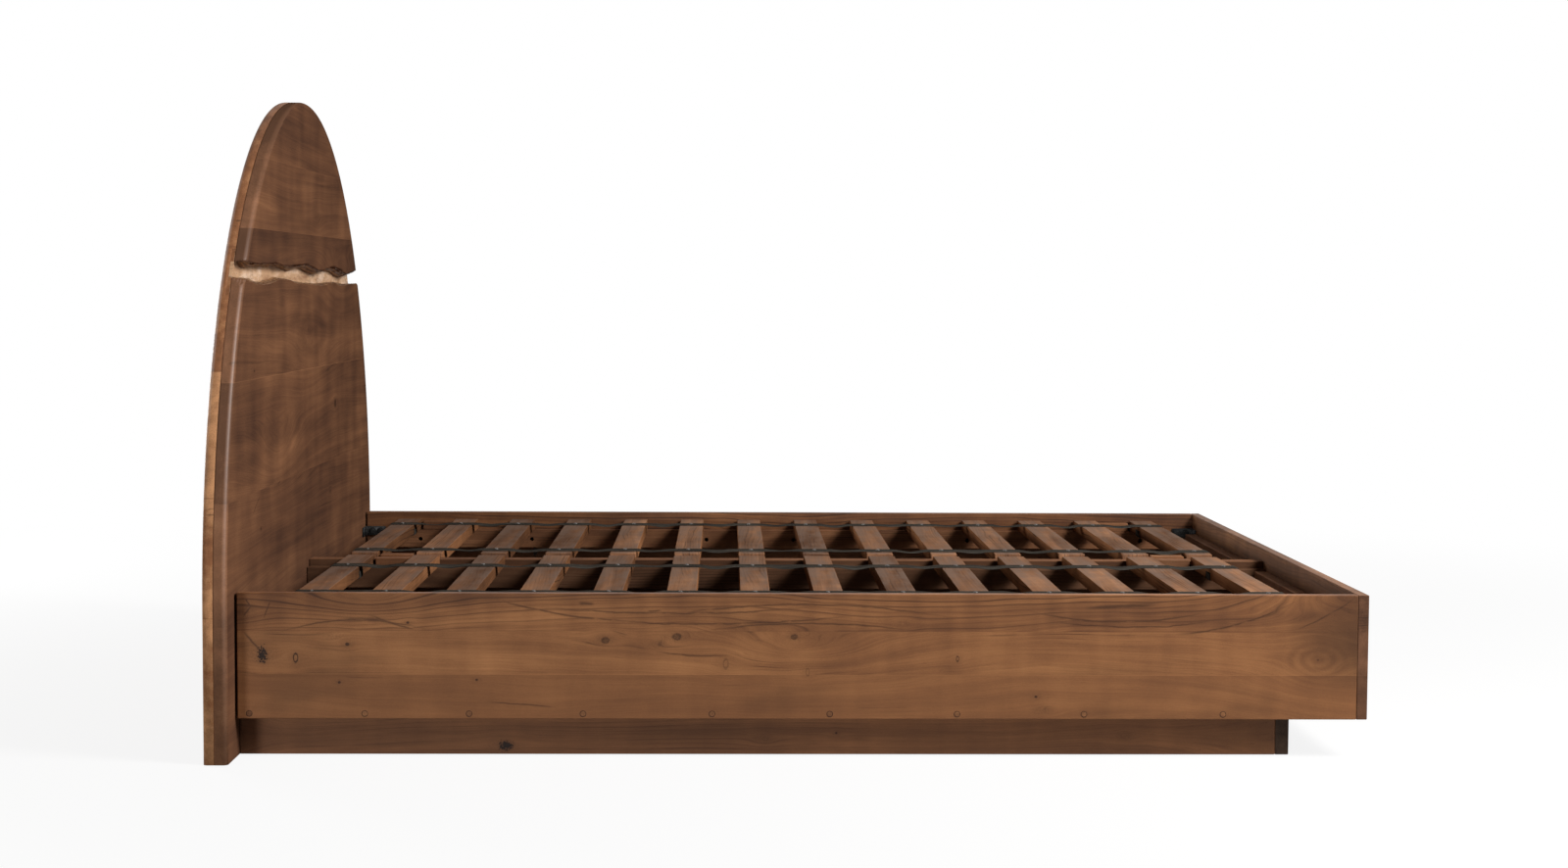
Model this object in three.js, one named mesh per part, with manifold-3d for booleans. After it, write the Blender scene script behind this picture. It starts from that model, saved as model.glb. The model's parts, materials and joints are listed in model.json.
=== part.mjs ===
// Platform bed with an arched split-slab headboard.
// Millimetres. +X runs from head to foot, +Y across the bed, +Z up, floor at Z = 0.
// Inside this file x = 0 is the front face of the headboard; the last group moves
// the bed so that the origin is the middle of its footprint.
import * as THREE from 'three';
import Module from 'manifold-3d';

const wasm = await Module();
wasm.setup();
const { Manifold, Mesh: ManifoldMesh } = wasm;

// ---- driving dimensions ----
const insideLength = 2058;        // headboard face to foot board, queen mattress plus 26
const insideWidth = 1550;         // rail to rail, queen mattress plus 26
const boardThickness = 20;        // rails and foot board
const railBottom = 73;
const railTop = 304;
const railEndGap = 1.5;           // shadow gap between a rail and the headboard
const headboardOverhang = 67;     // headboard past each rail
const headboardHeight = 1249;
const archSpring = 275;           // the sides are straight up to here
const archPower = 1.98;           // superellipse power of the arch
const backPanelThickness = 20;
const slabThickness = 24;         // front boards of the headboard
const backEdgeRound = 4;
const frontEdgeRound = 9;
const insetThickness = 6;
const insetReach = 42;            // of the pale strip, above and below the split's middle
const splitMiddle = 887;          // height of the split's middle
const slatCount = 14;             // in each bank
const slatWidth = 57;
const slatThickness = 24;
const slatTop = 287;
const slatEndGap = 4;
const firstSlatEdge = 84;         // from the headboard face
const lastSlatGap = 103;          // from the last slat to the foot board
const ledgerWidth = 30;
const ledgerHeight = 44;
const ledgerEndGap = 66;          // room for a corner bracket
const ledgerHoleDiameter = 10;
const ledgerHoleDrop = 23;        // hole centre below the ledger's top
const ledgerHoleFirst = 140;
const ledgerHoleSecond = 414.5;
const ledgerHolePitch = 215.5;
const stopBlockHeight = 20;
const stopBlockGap = 6;           // on each side of a stop block
const beamWidth = 40;
const beamTop = 277;
const beamHeight = 72;
const beamEndGap = 1;
const footCleatWidth = 27;
const footCleatHeight = 24;
const footCleatTop = 259;
const plinthThickness = 25;
const plinthSideInset = 40;       // from the outside of a rail
const plinthFootInset = 135;      // from the outside of the foot board
const baseCleatWidth = 38;
const baseCleatHeight = 32;
const baseCleatEndGap = 60;
const legSize = 45;
const legShareOfSpan = [1 / 3, 2 / 3];
const bracketLeg = 50;
const bracketHeight = 22;
const bracketThickness = 4;
const bracketTop = 268;
const hangerThickness = 3;
const hangerSeat = 60;
const hangerDrop = 60;
const strapWidth = 42;
const strapThickness = 2;
const strapSag = 5;               // between two slats
const strapFromRail = [125, 138];  // outer straps' centres from the near and far rail's inside
const strapFromBeam = [200, 53];   // inner straps' centres from the beam's near and far side
const fit = 0.3;                  // clearance between pieces that touch
const easedEdge = 1.5;
const holeSides = 12;
const archSteps = 56;             // straight pieces in the arch
const flankSteps = 20;            // and in each side of the lower slab
const liveSteps = 64;             // and along a live edge
const roundSteps = 4;             // and across a rounded edge

// ---- worked out from them ----
const outsideWidth = insideWidth + 2 * boardThickness;
const headboardHalfWidth = outsideWidth / 2 + headboardOverhang;
const headboardThickness = backPanelThickness + fit + slabThickness;
const overallLength = headboardThickness + insideLength + fit + boardThickness;
const railInner = insideWidth / 2;
const slatBottom = slatTop - slatThickness;
const ledgerTop = slatBottom - fit;
const beamBottom = beamTop - beamHeight;
const slatPitch = (insideLength - firstSlatEdge - lastSlatGap - slatWidth) / (slatCount - 1);
const slatInnerEnd = beamWidth / 2 + slatEndGap;
const slatLength = railInner - slatEndGap - slatInnerEnd;
const plinthOuter = outsideWidth / 2 - plinthSideInset;
const plinthFootFace = insideLength + boardThickness - plinthFootInset;

// ---- materials ----
const wood = (color, roughness) => new THREE.MeshStandardMaterial({ color, roughness, metalness: 0 });
const finish = {
  rail: wood(0x8d6a4e, 0.6),
  headboard: wood(0x7d5c45, 0.6),
  slat: wood(0xb08e72, 0.75),
  frame: wood(0x9a7658, 0.75),
  plinth: wood(0x6b503c, 0.7),
  inset: wood(0xc9ae8a, 0.85),
  webbing: wood(0x8f9294, 0.95),
  steel: new THREE.MeshStandardMaterial({ color: 0x1d2022, roughness: 0.45, metalness: 0.7 }),
};

const bed = new THREE.Group();

function add(name, geometry, material, x = 0, y = 0, z = 0) {
  const mesh = new THREE.Mesh(geometry, material.clone());
  mesh.name = name;
  mesh.position.set(x, y, z);
  bed.add(mesh);
  return mesh;
}

// ---- geometry helpers ----

// A closed body through rings of points that all run the same way round.
// Each ring is an array of [y, z] at one x; the rings go up in x.
function loftPlate(rings) {
  const count = rings[0].points.length;
  const positions = [];
  const index = [];
  for (const { x, points } of rings) {
    for (const [y, z] of points) positions.push(x, y, z);
  }
  for (let ring = 0; ring + 1 < rings.length; ring += 1) {
    for (let i = 0; i < count; i += 1) {
      const a = ring * count + i;
      const b = ring * count + ((i + 1) % count);
      index.push(a, b, b + count, a, b + count, a + count);
    }
  }
  const cap = (ring, flip) => {
    const outline = rings[ring].points.map(([y, z]) => new THREE.Vector2(y, z));
    for (const [a, b, c] of THREE.ShapeUtils.triangulateShape(outline, [])) {
      const base = ring * count;
      if (flip) index.push(base + a, base + c, base + b);
      else index.push(base + a, base + b, base + c);
    }
  };
  cap(0, true);
  cap(rings.length - 1, false);
  const geometry = new THREE.BufferGeometry();
  geometry.setAttribute('position', new THREE.Float32BufferAttribute(positions, 3));
  geometry.setIndex(index);
  geometry.computeVertexNormals();
  return geometry;
}

function toManifold(geometry) {
  return new Manifold(new ManifoldMesh({
    numProp: 3,
    vertProperties: new Float32Array(geometry.getAttribute('position').array),
    triVerts: new Uint32Array(geometry.getIndex().array),
  }));
}

function fromManifold(solid) {
  const mesh = solid.getMesh();
  const geometry = new THREE.BufferGeometry();
  geometry.setAttribute('position', new THREE.Float32BufferAttribute(mesh.vertProperties, 3));
  geometry.setIndex([...mesh.triVerts]);
  return geometry;
}

function boxSolid(x0, x1, y0, y1, z0, z1) {
  return Manifold.cube([x1 - x0, y1 - y0, z1 - z0], false).translate([x0, y0, z0]);
}

// A plain board between two corners.
function board(name, material, [x0, x1], [y0, y1], [z0, z1]) {
  const geometry = new THREE.BoxGeometry(x1 - x0, y1 - y0, z1 - z0);
  return add(name, geometry, material, (x0 + x1) / 2, (y0 + y1) / 2, (z0 + z1) / 2);
}

// A board along X or Y whose long edges are eased: its section is a rectangle with cut corners.
function easedBoard(name, material, along, [x0, x1], [y0, y1], [z0, z1]) {
  const length = along === 'x' ? x1 - x0 : y1 - y0;
  const wide = along === 'x' ? y1 - y0 : x1 - x0;
  const tall = z1 - z0;
  const w = wide / 2;
  const h = tall / 2;
  const e = easedEdge;
  const corners = [[-w + e, -h], [w - e, -h], [w, -h + e], [w, h - e],
    [w - e, h], [-w + e, h], [-w, h - e], [-w, -h + e]];
  const section = new THREE.Shape(corners.map(([a, b]) => new THREE.Vector2(a, b)));
  const geometry = new THREE.ExtrudeGeometry(section, { depth: length, bevelEnabled: false });
  geometry.translate(0, 0, -length / 2);
  geometry.rotateX(Math.PI / 2);
  if (along === 'x') geometry.rotateZ(Math.PI / 2);
  return add(name, geometry, material, (x0 + x1) / 2, (y0 + y1) / 2, (z0 + z1) / 2);
}

function roundHole(x, z, radius) {
  const points = [];
  for (let i = 0; i < holeSides; i += 1) {
    const angle = (-2 * Math.PI * i) / holeSides;
    points.push(new THREE.Vector2(x + radius * Math.cos(angle), z + radius * Math.sin(angle)));
  }
  return new THREE.Path(points);
}

// An outline in the X-Z plane carried through from y0 to y1.
function sideProfile(outline, y0, y1, holes = []) {
  const points = outline.map(([x, z]) => new THREE.Vector2(x, z));
  if (THREE.ShapeUtils.isClockWise(points)) points.reverse();
  const shape = new THREE.Shape(points);
  for (const { x, z, radius } of holes) shape.holes.push(roundHole(x, z, radius));
  const options = { depth: y1 - y0, bevelEnabled: false };
  const geometry = new THREE.ExtrudeGeometry(shape, options);
  geometry.rotateX(Math.PI / 2);
  geometry.translate(0, y1, 0);
  return geometry;
}

// ---- headboard ----

// The arch drawn in by `inward`, between two angles: 0 is the far side, pi / 2 the top, pi the near side.
function archPoints(inward, from, to, steps) {
  const halfWidth = headboardHalfWidth - inward;
  const rise = headboardHeight - archSpring - inward;
  const points = [];
  for (let i = 0; i <= steps; i += 1) {
    const angle = from + ((to - from) * i) / steps;
    const across = Math.sign(Math.cos(angle)) * Math.abs(Math.cos(angle)) ** (2 / archPower);
    const up = Math.abs(Math.sin(angle)) ** (2 / archPower);
    points.push([halfWidth * across, archSpring + rise * up]);
  }
  return points;
}

// How far up the arch a height is, as a share of the drawn-in rise.
function archShare(z, inward) {
  return (z - archSpring) / (headboardHeight - archSpring - inward);
}

function archAngleAt(z, inward) {
  return Math.asin(archShare(z, inward) ** (archPower / 2));
}

function archHalfWidthAt(z, inward) {
  return (headboardHalfWidth - inward) * (1 - archShare(z, inward) ** archPower) ** (1 / archPower);
}

// The live edges of the split, near side to far side: each slab has one on its front face and one
// on its back, and slopes between them. A point is [per cent of the headboard's half width,
// height above the split's middle].
const liveEdge = (points) => {
  const unit = headboardHalfWidth / 100;
  const places = points.map(([across, rise]) => new THREE.Vector2(unit * across, splitMiddle + rise));
  return new THREE.SplineCurve(places).getPoints(points.length * 6);
};
const upperFrontEdge = liveEdge([
  [-76, 21], [-67, 18], [-53, 18], [-41, 20], [-30, 15], [-18, 19], [-1, 21], [7, 16], [16, 10],
  [28, 13], [38, 19], [50, 13], [59, 4], [65, 7], [77, 14],
]);
const upperBackEdge = liveEdge([
  [-73, 20], [-69, 9], [-64, 9], [-55, 13], [-45, 12], [-33, 14], [-26, 13], [-17, 5], [-12, 6],
  [-2, 12], [7, 8], [12, 4], [21, 0], [29, 6], [34, 9], [45, 7], [54, -2], [64, -5], [69, -2],
  [78, 3],
]);
const lowerFrontEdge = liveEdge([
  [-76, -13], [-69, -19], [-62, -25], [-54, -22], [-46, -18], [-38, -12], [-26, -14], [-13, -21],
  [0, -21], [11, -23], [22, -24], [31, -18], [42, -18], [50, -24], [64, -20], [78, -19],
]);
const lowerBackEdge = liveEdge([
  [-77, -10], [-66, -10], [-58, -13], [-52, -18], [-40, -14], [-32, -8], [-24, -10], [-15, -11],
  [-1, -18], [9, -19], [31, -19], [43, -18], [54, -17], [67, -23], [81, -19],
]);

// A live edge's height where it is read between its points.
function liveHeight(edge, y) {
  const last = edge[edge.length - 1];
  if (y <= edge[0].x) return edge[0].y;
  if (y >= last.x) return last.y;
  const i = edge.findIndex((point) => point.x > y);
  return THREE.MathUtils.mapLinear(y, edge[i - 1].x, edge[i].x, edge[i - 1].y, edge[i].y);
}

// A slab's live edge on one ring, near side to far side; `depth` runs from 0 at its back to 1.
function liveEdgePoints(back, front, depth, inward) {
  const height = (y) => THREE.MathUtils.lerp(liveHeight(back, y), liveHeight(front, y), depth);
  const reach = (sign) => {
    const guess = sign * archHalfWidthAt(splitMiddle, inward);
    return sign * archHalfWidthAt(height(guess), inward);
  };
  const near = reach(-1);
  const far = reach(1);
  const points = [];
  for (let i = 0; i <= liveSteps; i += 1) {
    const y = near + ((far - near) * i) / liveSteps;
    points.push([y, height(y)]);
  }
  return points;
}

// The rings of a slab from back to front, each drawn in a little more at the rounded front edge.
function slabRings(outline) {
  const straight = slabThickness - frontEdgeRound;
  const rings = [{ x: -slabThickness, points: outline(0, 0) }];
  for (let i = 0; i <= roundSteps; i += 1) {
    const angle = (Math.PI / 2) * (i / roundSteps);
    const depth = straight + frontEdgeRound * Math.sin(angle);
    const inward = frontEdgeRound * (1 - Math.cos(angle));
    rings.push({ x: depth - slabThickness, points: outline(depth / slabThickness, inward) });
  }
  return rings;
}

function upperSlab() {
  return loftPlate(slabRings((depth, inward) => {
    const live = liveEdgePoints(upperBackEdge, upperFrontEdge, depth, inward);
    const far = archAngleAt(live[liveSteps][1], inward);
    const near = Math.PI - archAngleAt(live[0][1], inward);
    return [...live.slice(1, -1), ...archPoints(inward, far, near, archSteps)];
  }));
}

function lowerSlab() {
  return loftPlate(slabRings((depth, inward) => {
    const live = liveEdgePoints(lowerBackEdge, lowerFrontEdge, depth, inward);
    const far = archAngleAt(live[liveSteps][1], inward);
    const near = Math.PI - archAngleAt(live[0][1], inward);
    return [
      [headboardHalfWidth - inward, 0],
      ...archPoints(inward, 0, far, flankSteps),
      ...live.slice(1, -1).reverse(),
      ...archPoints(inward, near, Math.PI, flankSteps),
      [inward - headboardHalfWidth, 0],
    ];
  }));
}

// The whole arch as a plate between two depths, with its back edge rounded by `round`.
function archPlate(back, front, round) {
  const outline = (inward) => [
    [-(headboardHalfWidth - inward), 0],
    [headboardHalfWidth - inward, 0],
    ...archPoints(inward, 0, Math.PI, archSteps),
  ];
  const rings = [];
  if (round > 0) {
    rings.push({ x: back, points: outline(round) });
    rings.push({ x: back + 0.3 * round, points: outline(0.3 * round) });
    rings.push({ x: back + round, points: outline(0) });
  } else {
    rings.push({ x: back, points: outline(0) });
  }
  rings.push({ x: front, points: outline(0) });
  return loftPlate(rings);
}

const backPanelBack = -headboardThickness;
const backPanelFront = backPanelBack + backPanelThickness;
const grooveFloor = backPanelFront - insetThickness;

function backPanel() {
  const plate = toManifold(archPlate(backPanelBack, backPanelFront, backEdgeRound));
  const reach = headboardHalfWidth + 1;
  const bottom = splitMiddle - insetReach;
  const top = splitMiddle + insetReach;
  const groove = boxSolid(grooveFloor, 1, -reach, reach, bottom, top);
  return fromManifold(plate.subtract(groove));
}

function inset() {
  const plate = toManifold(archPlate(grooveFloor + fit, backPanelFront, 0));
  const reach = headboardHalfWidth + 1;
  const half = insetReach - fit;
  const strip = boxSolid(-headboardThickness, 1, -reach, reach, splitMiddle - half, splitMiddle + half);
  return fromManifold(plate.intersect(strip));
}

add('headboard_back_panel', backPanel(), finish.headboard);
add('headboard_inset', inset(), finish.inset);
add('headboard_lower_slab', lowerSlab(), finish.headboard);
add('headboard_upper_slab', upperSlab(), finish.headboard);

// ---- side rails and foot board ----
const sides = [['near', -1], ['far', 1]];
const span = (sign, inner, outer) => (sign > 0 ? [inner, outer] : [-outer, -inner]);

for (const [side, sign] of sides) {
  const across = span(sign, railInner, railInner + boardThickness);
  const along = [railEndGap, insideLength];
  easedBoard(`side_rail_${side}`, finish.rail, 'x', along, across, [railBottom, railTop]);
}
const footInner = insideLength + fit;
easedBoard('foot_board', finish.rail, 'y', [footInner, footInner + boardThickness],
  [-outsideWidth / 2, outsideWidth / 2], [railBottom, railTop]);

// ---- ledgers with their stop blocks ----
const slatEdge = (i) => firstSlatEdge + i * slatPitch;

function ledgerProfile(x0, x1) {
  const base = ledgerTop - ledgerHeight;
  const tooth = (i) => {
    const from = slatEdge(i) + slatWidth + stopBlockGap;
    const to = slatEdge(i + 1) - stopBlockGap;
    return [[from, ledgerTop], [from, ledgerTop + stopBlockHeight],
      [to, ledgerTop + stopBlockHeight], [to, ledgerTop]];
  };
  return [[x0, base], [x0, ledgerTop], ...tooth(0), ...tooth(slatCount - 2), [x1, ledgerTop], [x1, base]];
}

function ledgerHoles(x1) {
  const holes = [];
  const hole = (x) => holes.push({ x, z: ledgerTop - ledgerHoleDrop, radius: ledgerHoleDiameter / 2 });
  hole(ledgerHoleFirst);
  for (let x = ledgerHoleSecond; x < x1 - ledgerHoleDiameter; x += ledgerHolePitch) hole(x);
  return holes;
}

const ledgerEnd = insideLength - ledgerEndGap;
for (const [side, sign] of sides) {
  const outline = ledgerProfile(ledgerEndGap, ledgerEnd);
  const [y0, y1] = span(sign, railInner - fit - ledgerWidth, railInner - fit);
  add(`rail_ledger_${side}`, sideProfile(outline, y0, y1, ledgerHoles(ledgerEnd)), finish.frame);
}

// ---- centre beam, its ledgers, legs and hangers ----
const beamX = [beamEndGap, insideLength - beamEndGap];
board('centre_beam', finish.frame, beamX, [-beamWidth / 2, beamWidth / 2], [beamBottom, beamTop]);
for (const [side, sign] of sides) {
  const outline = ledgerProfile(beamX[0], beamX[1]);
  const [y0, y1] = span(sign, beamWidth / 2 + fit, beamWidth / 2 + fit + ledgerWidth);
  add(`centre_ledger_${side}`, sideProfile(outline, y0, y1), finish.frame);
}
legShareOfSpan.forEach((share, i) => {
  const x = insideLength * share;
  const half = legSize / 2;
  board(`centre_leg_${i + 1}`, finish.frame, [x - half, x + half], [-half, half], [0, beamBottom - fit]);
});

function hangerProfile(face, inward) {
  const top = beamBottom - fit;
  const back = face + inward * fit;
  const front = back + inward * hangerThickness;
  const tip = back + inward * hangerSeat;
  const under = top - hangerThickness;
  const foot = top - hangerDrop;
  return [[back, top], [tip, top], [tip, under], [front, under], [front, foot], [back, foot]];
}
const hangerY = [-beamWidth / 2, beamWidth / 2];
add('beam_hanger_head', sideProfile(hangerProfile(0, 1), ...hangerY), finish.steel);
add('beam_hanger_foot', sideProfile(hangerProfile(insideLength + fit, -1), ...hangerY), finish.steel);

// ---- foot cleats ----
for (const [side, sign] of sides) {
  const inner = beamWidth / 2 + fit + ledgerWidth + fit;
  const outer = railInner - bracketLeg - bracketThickness;
  board(`foot_cleat_${side}`, finish.frame, [insideLength - footCleatWidth, insideLength],
    span(sign, inner, outer), [footCleatTop - footCleatHeight, footCleatTop]);
}

// ---- plinth ----
const plinthTop = railBottom - fit;
const plinthFootBack = plinthFootFace - plinthThickness;
for (const [side, sign] of sides) {
  const across = span(sign, plinthOuter - plinthThickness, plinthOuter);
  board(`plinth_side_${side}`, finish.plinth, [fit, plinthFootBack - fit], across, [0, plinthTop]);
}
board('plinth_foot', finish.plinth, [plinthFootBack, plinthFootFace],
  [-plinthOuter, plinthOuter], [0, plinthTop]);
const plinthHeadHalf = plinthOuter - plinthThickness - fit;
board('plinth_head', finish.plinth, [fit, fit + plinthThickness],
  [-plinthHeadHalf, plinthHeadHalf], [0, plinthTop]);

// A cleat inside the foot of each rail sits on the plinth and carries the rail.
for (const [side, sign] of sides) {
  const across = span(sign, railInner - fit - baseCleatWidth, railInner - fit);
  board(`base_cleat_${side}`, finish.frame, [baseCleatEndGap, plinthFootFace - baseCleatEndGap], across,
    [railBottom, railBottom + baseCleatHeight]);
}

// ---- corner brackets ----
function bracketGeometry(xSign, ySign) {
  const t = bracketThickness;
  const points = [[0, 0], [bracketLeg, 0], [bracketLeg, t], [t, t], [t, bracketLeg], [0, bracketLeg]];
  const turned = points.map(([x, y]) => new THREE.Vector2(x * xSign, -y * ySign));
  if (xSign * ySign > 0) turned.reverse();
  const options = { depth: bracketHeight, bevelEnabled: false };
  return new THREE.ExtrudeGeometry(new THREE.Shape(turned), options);
}
for (const [side, sign] of sides) {
  const y = sign * (railInner - fit);
  const z = bracketTop - bracketHeight;
  add(`corner_bracket_head_${side}`, bracketGeometry(1, sign), finish.steel, fit, y, z);
  add(`corner_bracket_foot_${side}`, bracketGeometry(-1, sign), finish.steel, insideLength, y, z);
}

// ---- slats ----
for (const [side, sign] of sides) {
  const across = span(sign, slatInnerEnd, slatInnerEnd + slatLength);
  for (let i = 0; i < slatCount; i += 1) {
    const along = [slatEdge(i), slatEdge(i) + slatWidth];
    const number = String(i + 1).padStart(2, '0');
    easedBoard(`slat_${side}_${number}`, finish.slat, 'y', along, across, [slatBottom, slatTop]);
  }
}

// ---- webbing straps ----

// The strap's middle line: round the first slat, over every slat with a sag between, round the last.
function strapPath() {
  const half = strapThickness / 2;
  const top = slatTop + fit + half;
  const under = slatBottom - fit - half;
  const first = slatEdge(0);
  const last = slatEdge(slatCount - 1);
  const lead = fit + half;
  const tail = top - strapThickness - strapSag;
  const path = [[first + slatWidth + lead, tail], [first + slatWidth + lead, under], [first - lead, under],
    [first - lead, top]];
  for (let i = 0; i + 1 < slatCount; i += 1) {
    const from = slatEdge(i) + slatWidth;
    const to = slatEdge(i + 1);
    path.push([from, top]);
    path.push([from + (to - from) * 0.25, top - strapSag * 0.75]);
    path.push([from + (to - from) * 0.5, top - strapSag]);
    path.push([from + (to - from) * 0.75, top - strapSag * 0.75]);
    path.push([to, top]);
  }
  path.push([last + slatWidth + lead, top], [last + slatWidth + lead, under], [last - lead, under],
    [last - lead, tail]);
  return path;
}

// Both sides of a path, each point moved along the mean of its neighbours' normals.
function ribbonOutline(path, half) {
  const offset = (side) => path.map(([x, z], i) => {
    const before = path[Math.max(i - 1, 0)];
    const after = path[Math.min(i + 1, path.length - 1)];
    const normal = (from, to) => new THREE.Vector2(-(to[1] - from[1]), to[0] - from[0]).normalize();
    const a = i > 0 ? normal(before, [x, z]) : normal([x, z], after);
    const b = i + 1 < path.length ? normal([x, z], after) : a;
    const mean = a.clone().add(b);
    const stretch = 2 / mean.lengthSq();
    return [x + side * half * mean.x * stretch, z + side * half * mean.y * stretch];
  });
  return [...offset(1), ...offset(-1).reverse()];
}

const strapOutline = ribbonOutline(strapPath(), strapThickness / 2);
const strapCentres = [
  strapFromRail[0] - railInner,
  -beamWidth / 2 - strapFromBeam[0],
  beamWidth / 2 + strapFromBeam[1],
  railInner - strapFromRail[1],
];
strapCentres.forEach((y, i) => {
  add(`strap_${i + 1}`, sideProfile(strapOutline, y - strapWidth / 2, y + strapWidth / 2), finish.webbing);
});

// ---- the whole bed, centred on its footprint ----
bed.position.x = headboardThickness - overallLength / 2;
const part = new THREE.Group();
part.add(bed);
export default part;
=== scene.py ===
import json
import math
from collections import namedtuple
from functools import reduce

import bmesh
import bpy
import numpy as np
from mathutils import Matrix, Vector, noise
from mathutils.bvhtree import BVHTree
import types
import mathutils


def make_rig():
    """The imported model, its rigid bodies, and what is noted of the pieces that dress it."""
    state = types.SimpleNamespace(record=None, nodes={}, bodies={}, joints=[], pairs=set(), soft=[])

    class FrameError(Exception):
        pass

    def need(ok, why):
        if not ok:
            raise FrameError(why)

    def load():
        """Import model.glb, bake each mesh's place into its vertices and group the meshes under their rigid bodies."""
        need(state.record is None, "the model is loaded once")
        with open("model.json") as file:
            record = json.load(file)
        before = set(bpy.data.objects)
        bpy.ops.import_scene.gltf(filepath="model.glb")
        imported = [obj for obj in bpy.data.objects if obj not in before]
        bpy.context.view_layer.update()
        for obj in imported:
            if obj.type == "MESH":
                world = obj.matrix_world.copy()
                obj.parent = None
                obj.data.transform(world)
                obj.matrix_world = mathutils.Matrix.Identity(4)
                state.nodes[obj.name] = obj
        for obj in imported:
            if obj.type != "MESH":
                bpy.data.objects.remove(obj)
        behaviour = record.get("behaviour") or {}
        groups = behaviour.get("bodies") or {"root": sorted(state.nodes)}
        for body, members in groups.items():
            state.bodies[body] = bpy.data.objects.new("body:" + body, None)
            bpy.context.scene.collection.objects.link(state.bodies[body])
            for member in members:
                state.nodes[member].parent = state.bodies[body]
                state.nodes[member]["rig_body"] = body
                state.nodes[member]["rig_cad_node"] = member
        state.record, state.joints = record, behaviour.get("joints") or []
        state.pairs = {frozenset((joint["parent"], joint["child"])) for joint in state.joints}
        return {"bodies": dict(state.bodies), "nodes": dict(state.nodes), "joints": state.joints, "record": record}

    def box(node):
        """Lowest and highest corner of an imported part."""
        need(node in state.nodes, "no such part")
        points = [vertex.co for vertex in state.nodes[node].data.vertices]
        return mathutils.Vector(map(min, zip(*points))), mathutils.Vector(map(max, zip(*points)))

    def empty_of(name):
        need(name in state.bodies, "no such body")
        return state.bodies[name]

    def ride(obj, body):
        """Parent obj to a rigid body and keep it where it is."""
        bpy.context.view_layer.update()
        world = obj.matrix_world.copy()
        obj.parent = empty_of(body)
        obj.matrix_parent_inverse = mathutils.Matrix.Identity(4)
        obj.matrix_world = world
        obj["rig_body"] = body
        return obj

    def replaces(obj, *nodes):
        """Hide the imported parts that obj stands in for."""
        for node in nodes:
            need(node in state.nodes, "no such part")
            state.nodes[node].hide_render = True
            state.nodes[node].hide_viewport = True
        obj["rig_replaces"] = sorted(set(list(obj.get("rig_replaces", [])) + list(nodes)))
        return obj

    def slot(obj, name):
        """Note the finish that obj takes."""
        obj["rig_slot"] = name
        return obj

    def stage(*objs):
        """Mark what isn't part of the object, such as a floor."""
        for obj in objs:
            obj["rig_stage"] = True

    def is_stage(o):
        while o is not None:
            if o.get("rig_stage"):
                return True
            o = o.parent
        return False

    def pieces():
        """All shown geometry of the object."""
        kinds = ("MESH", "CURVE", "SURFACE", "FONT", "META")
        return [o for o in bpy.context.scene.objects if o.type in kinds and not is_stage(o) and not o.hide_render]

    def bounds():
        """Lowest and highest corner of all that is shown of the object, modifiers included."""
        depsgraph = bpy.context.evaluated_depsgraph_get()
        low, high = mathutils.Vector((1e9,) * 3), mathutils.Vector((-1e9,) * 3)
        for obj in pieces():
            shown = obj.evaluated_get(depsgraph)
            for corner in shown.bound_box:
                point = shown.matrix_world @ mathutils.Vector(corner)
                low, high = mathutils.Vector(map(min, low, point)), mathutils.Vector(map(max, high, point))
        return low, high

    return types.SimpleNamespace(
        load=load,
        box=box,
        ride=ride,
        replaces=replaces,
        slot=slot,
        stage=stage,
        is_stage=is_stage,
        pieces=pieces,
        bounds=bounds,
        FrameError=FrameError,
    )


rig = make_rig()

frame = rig.load()
cad_low, cad_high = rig.bounds()


def numbered(stem):
    """The solids whose names start with this stem, in order."""
    return sorted(name for name in frame["nodes"] if name.startswith(stem))


# ---- sizes read from the solids ----
SIDES = (("near", -1), ("far", 1))
BACK_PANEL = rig.box("headboard_back_panel")
LOWER_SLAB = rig.box("headboard_lower_slab")
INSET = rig.box("headboard_inset")
HEAD_FACE = LOWER_SLAB[1].x                 # front face of the headboard
HALF_WIDTH = LOWER_SLAB[1].y                # of the headboard
HEIGHT = BACK_PANEL[1].z
SPLIT = (INSET[0].z + INSET[1].z) / 2       # height of the middle of the split
SLAT_NODES = {side: numbered(f"slat_{side}_") for side, _ in SIDES}
SLATS = {side: [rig.box(node) for node in SLAT_NODES[side]] for side, _ in SIDES}
DECK_TOP = SLATS["near"][0][1].z
STRAP_NODES = numbered("strap_")

# ---- sizes of the finish ----
ARCH_SPRING = 0.275                         # the headboard's sides are straight up to here
ARCH_POWER = 1.98                           # superellipse power of the arch
ARCH_STEPS = 220
FLANK_STEPS = 70
LIVE_STEPS = 460
FRONT_ROUND = 0.009                         # radius of a slab's front edge
BACK_ROUND = 0.008                          # radius of the back panel's rear edge
SLAB_EASE = 0.0008                          # chamfer where the slabs and the back panel meet
GROOVE_EASE = 0.0006
RIM_WIDTH = 0.015                           # faces this near the rim take its finish
RIM_DEPTH = 0.012                           # how far inside the rim the strip's ends are told apart
SPLIT_REACH = 0.05                          # the live edges lie within this of the split's middle
LIVE_EDGE_EASE = 0.0022                     # how far a live edge falls away at its front
BOARD_EASE = 0.0016                         # radius of an eased edge
POST_EASE = 0.002
SLAT_EASE = 0.0018
BLOCK_EASE = 0.0012
PLATE_EASE = 0.0006
FIT = 0.0003                                # clearance of what touches
RAIL_HEAD_GAP = 0.0045                      # dark gap between a rail and the headboard
SLAT_END_PLAY = 0.0012
STOP_BLOCK_RISE = 0.020
STOP_BLOCK_GAP = 0.006
HOLE_ROWS = ((0.140, 1), (0.4145, 8))       # a ledger's holes: distance from the headboard, how many
HOLE_PITCH = 0.2155
HOLE_DROP = 0.023
HOLE_RADIUS = 0.005
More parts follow.
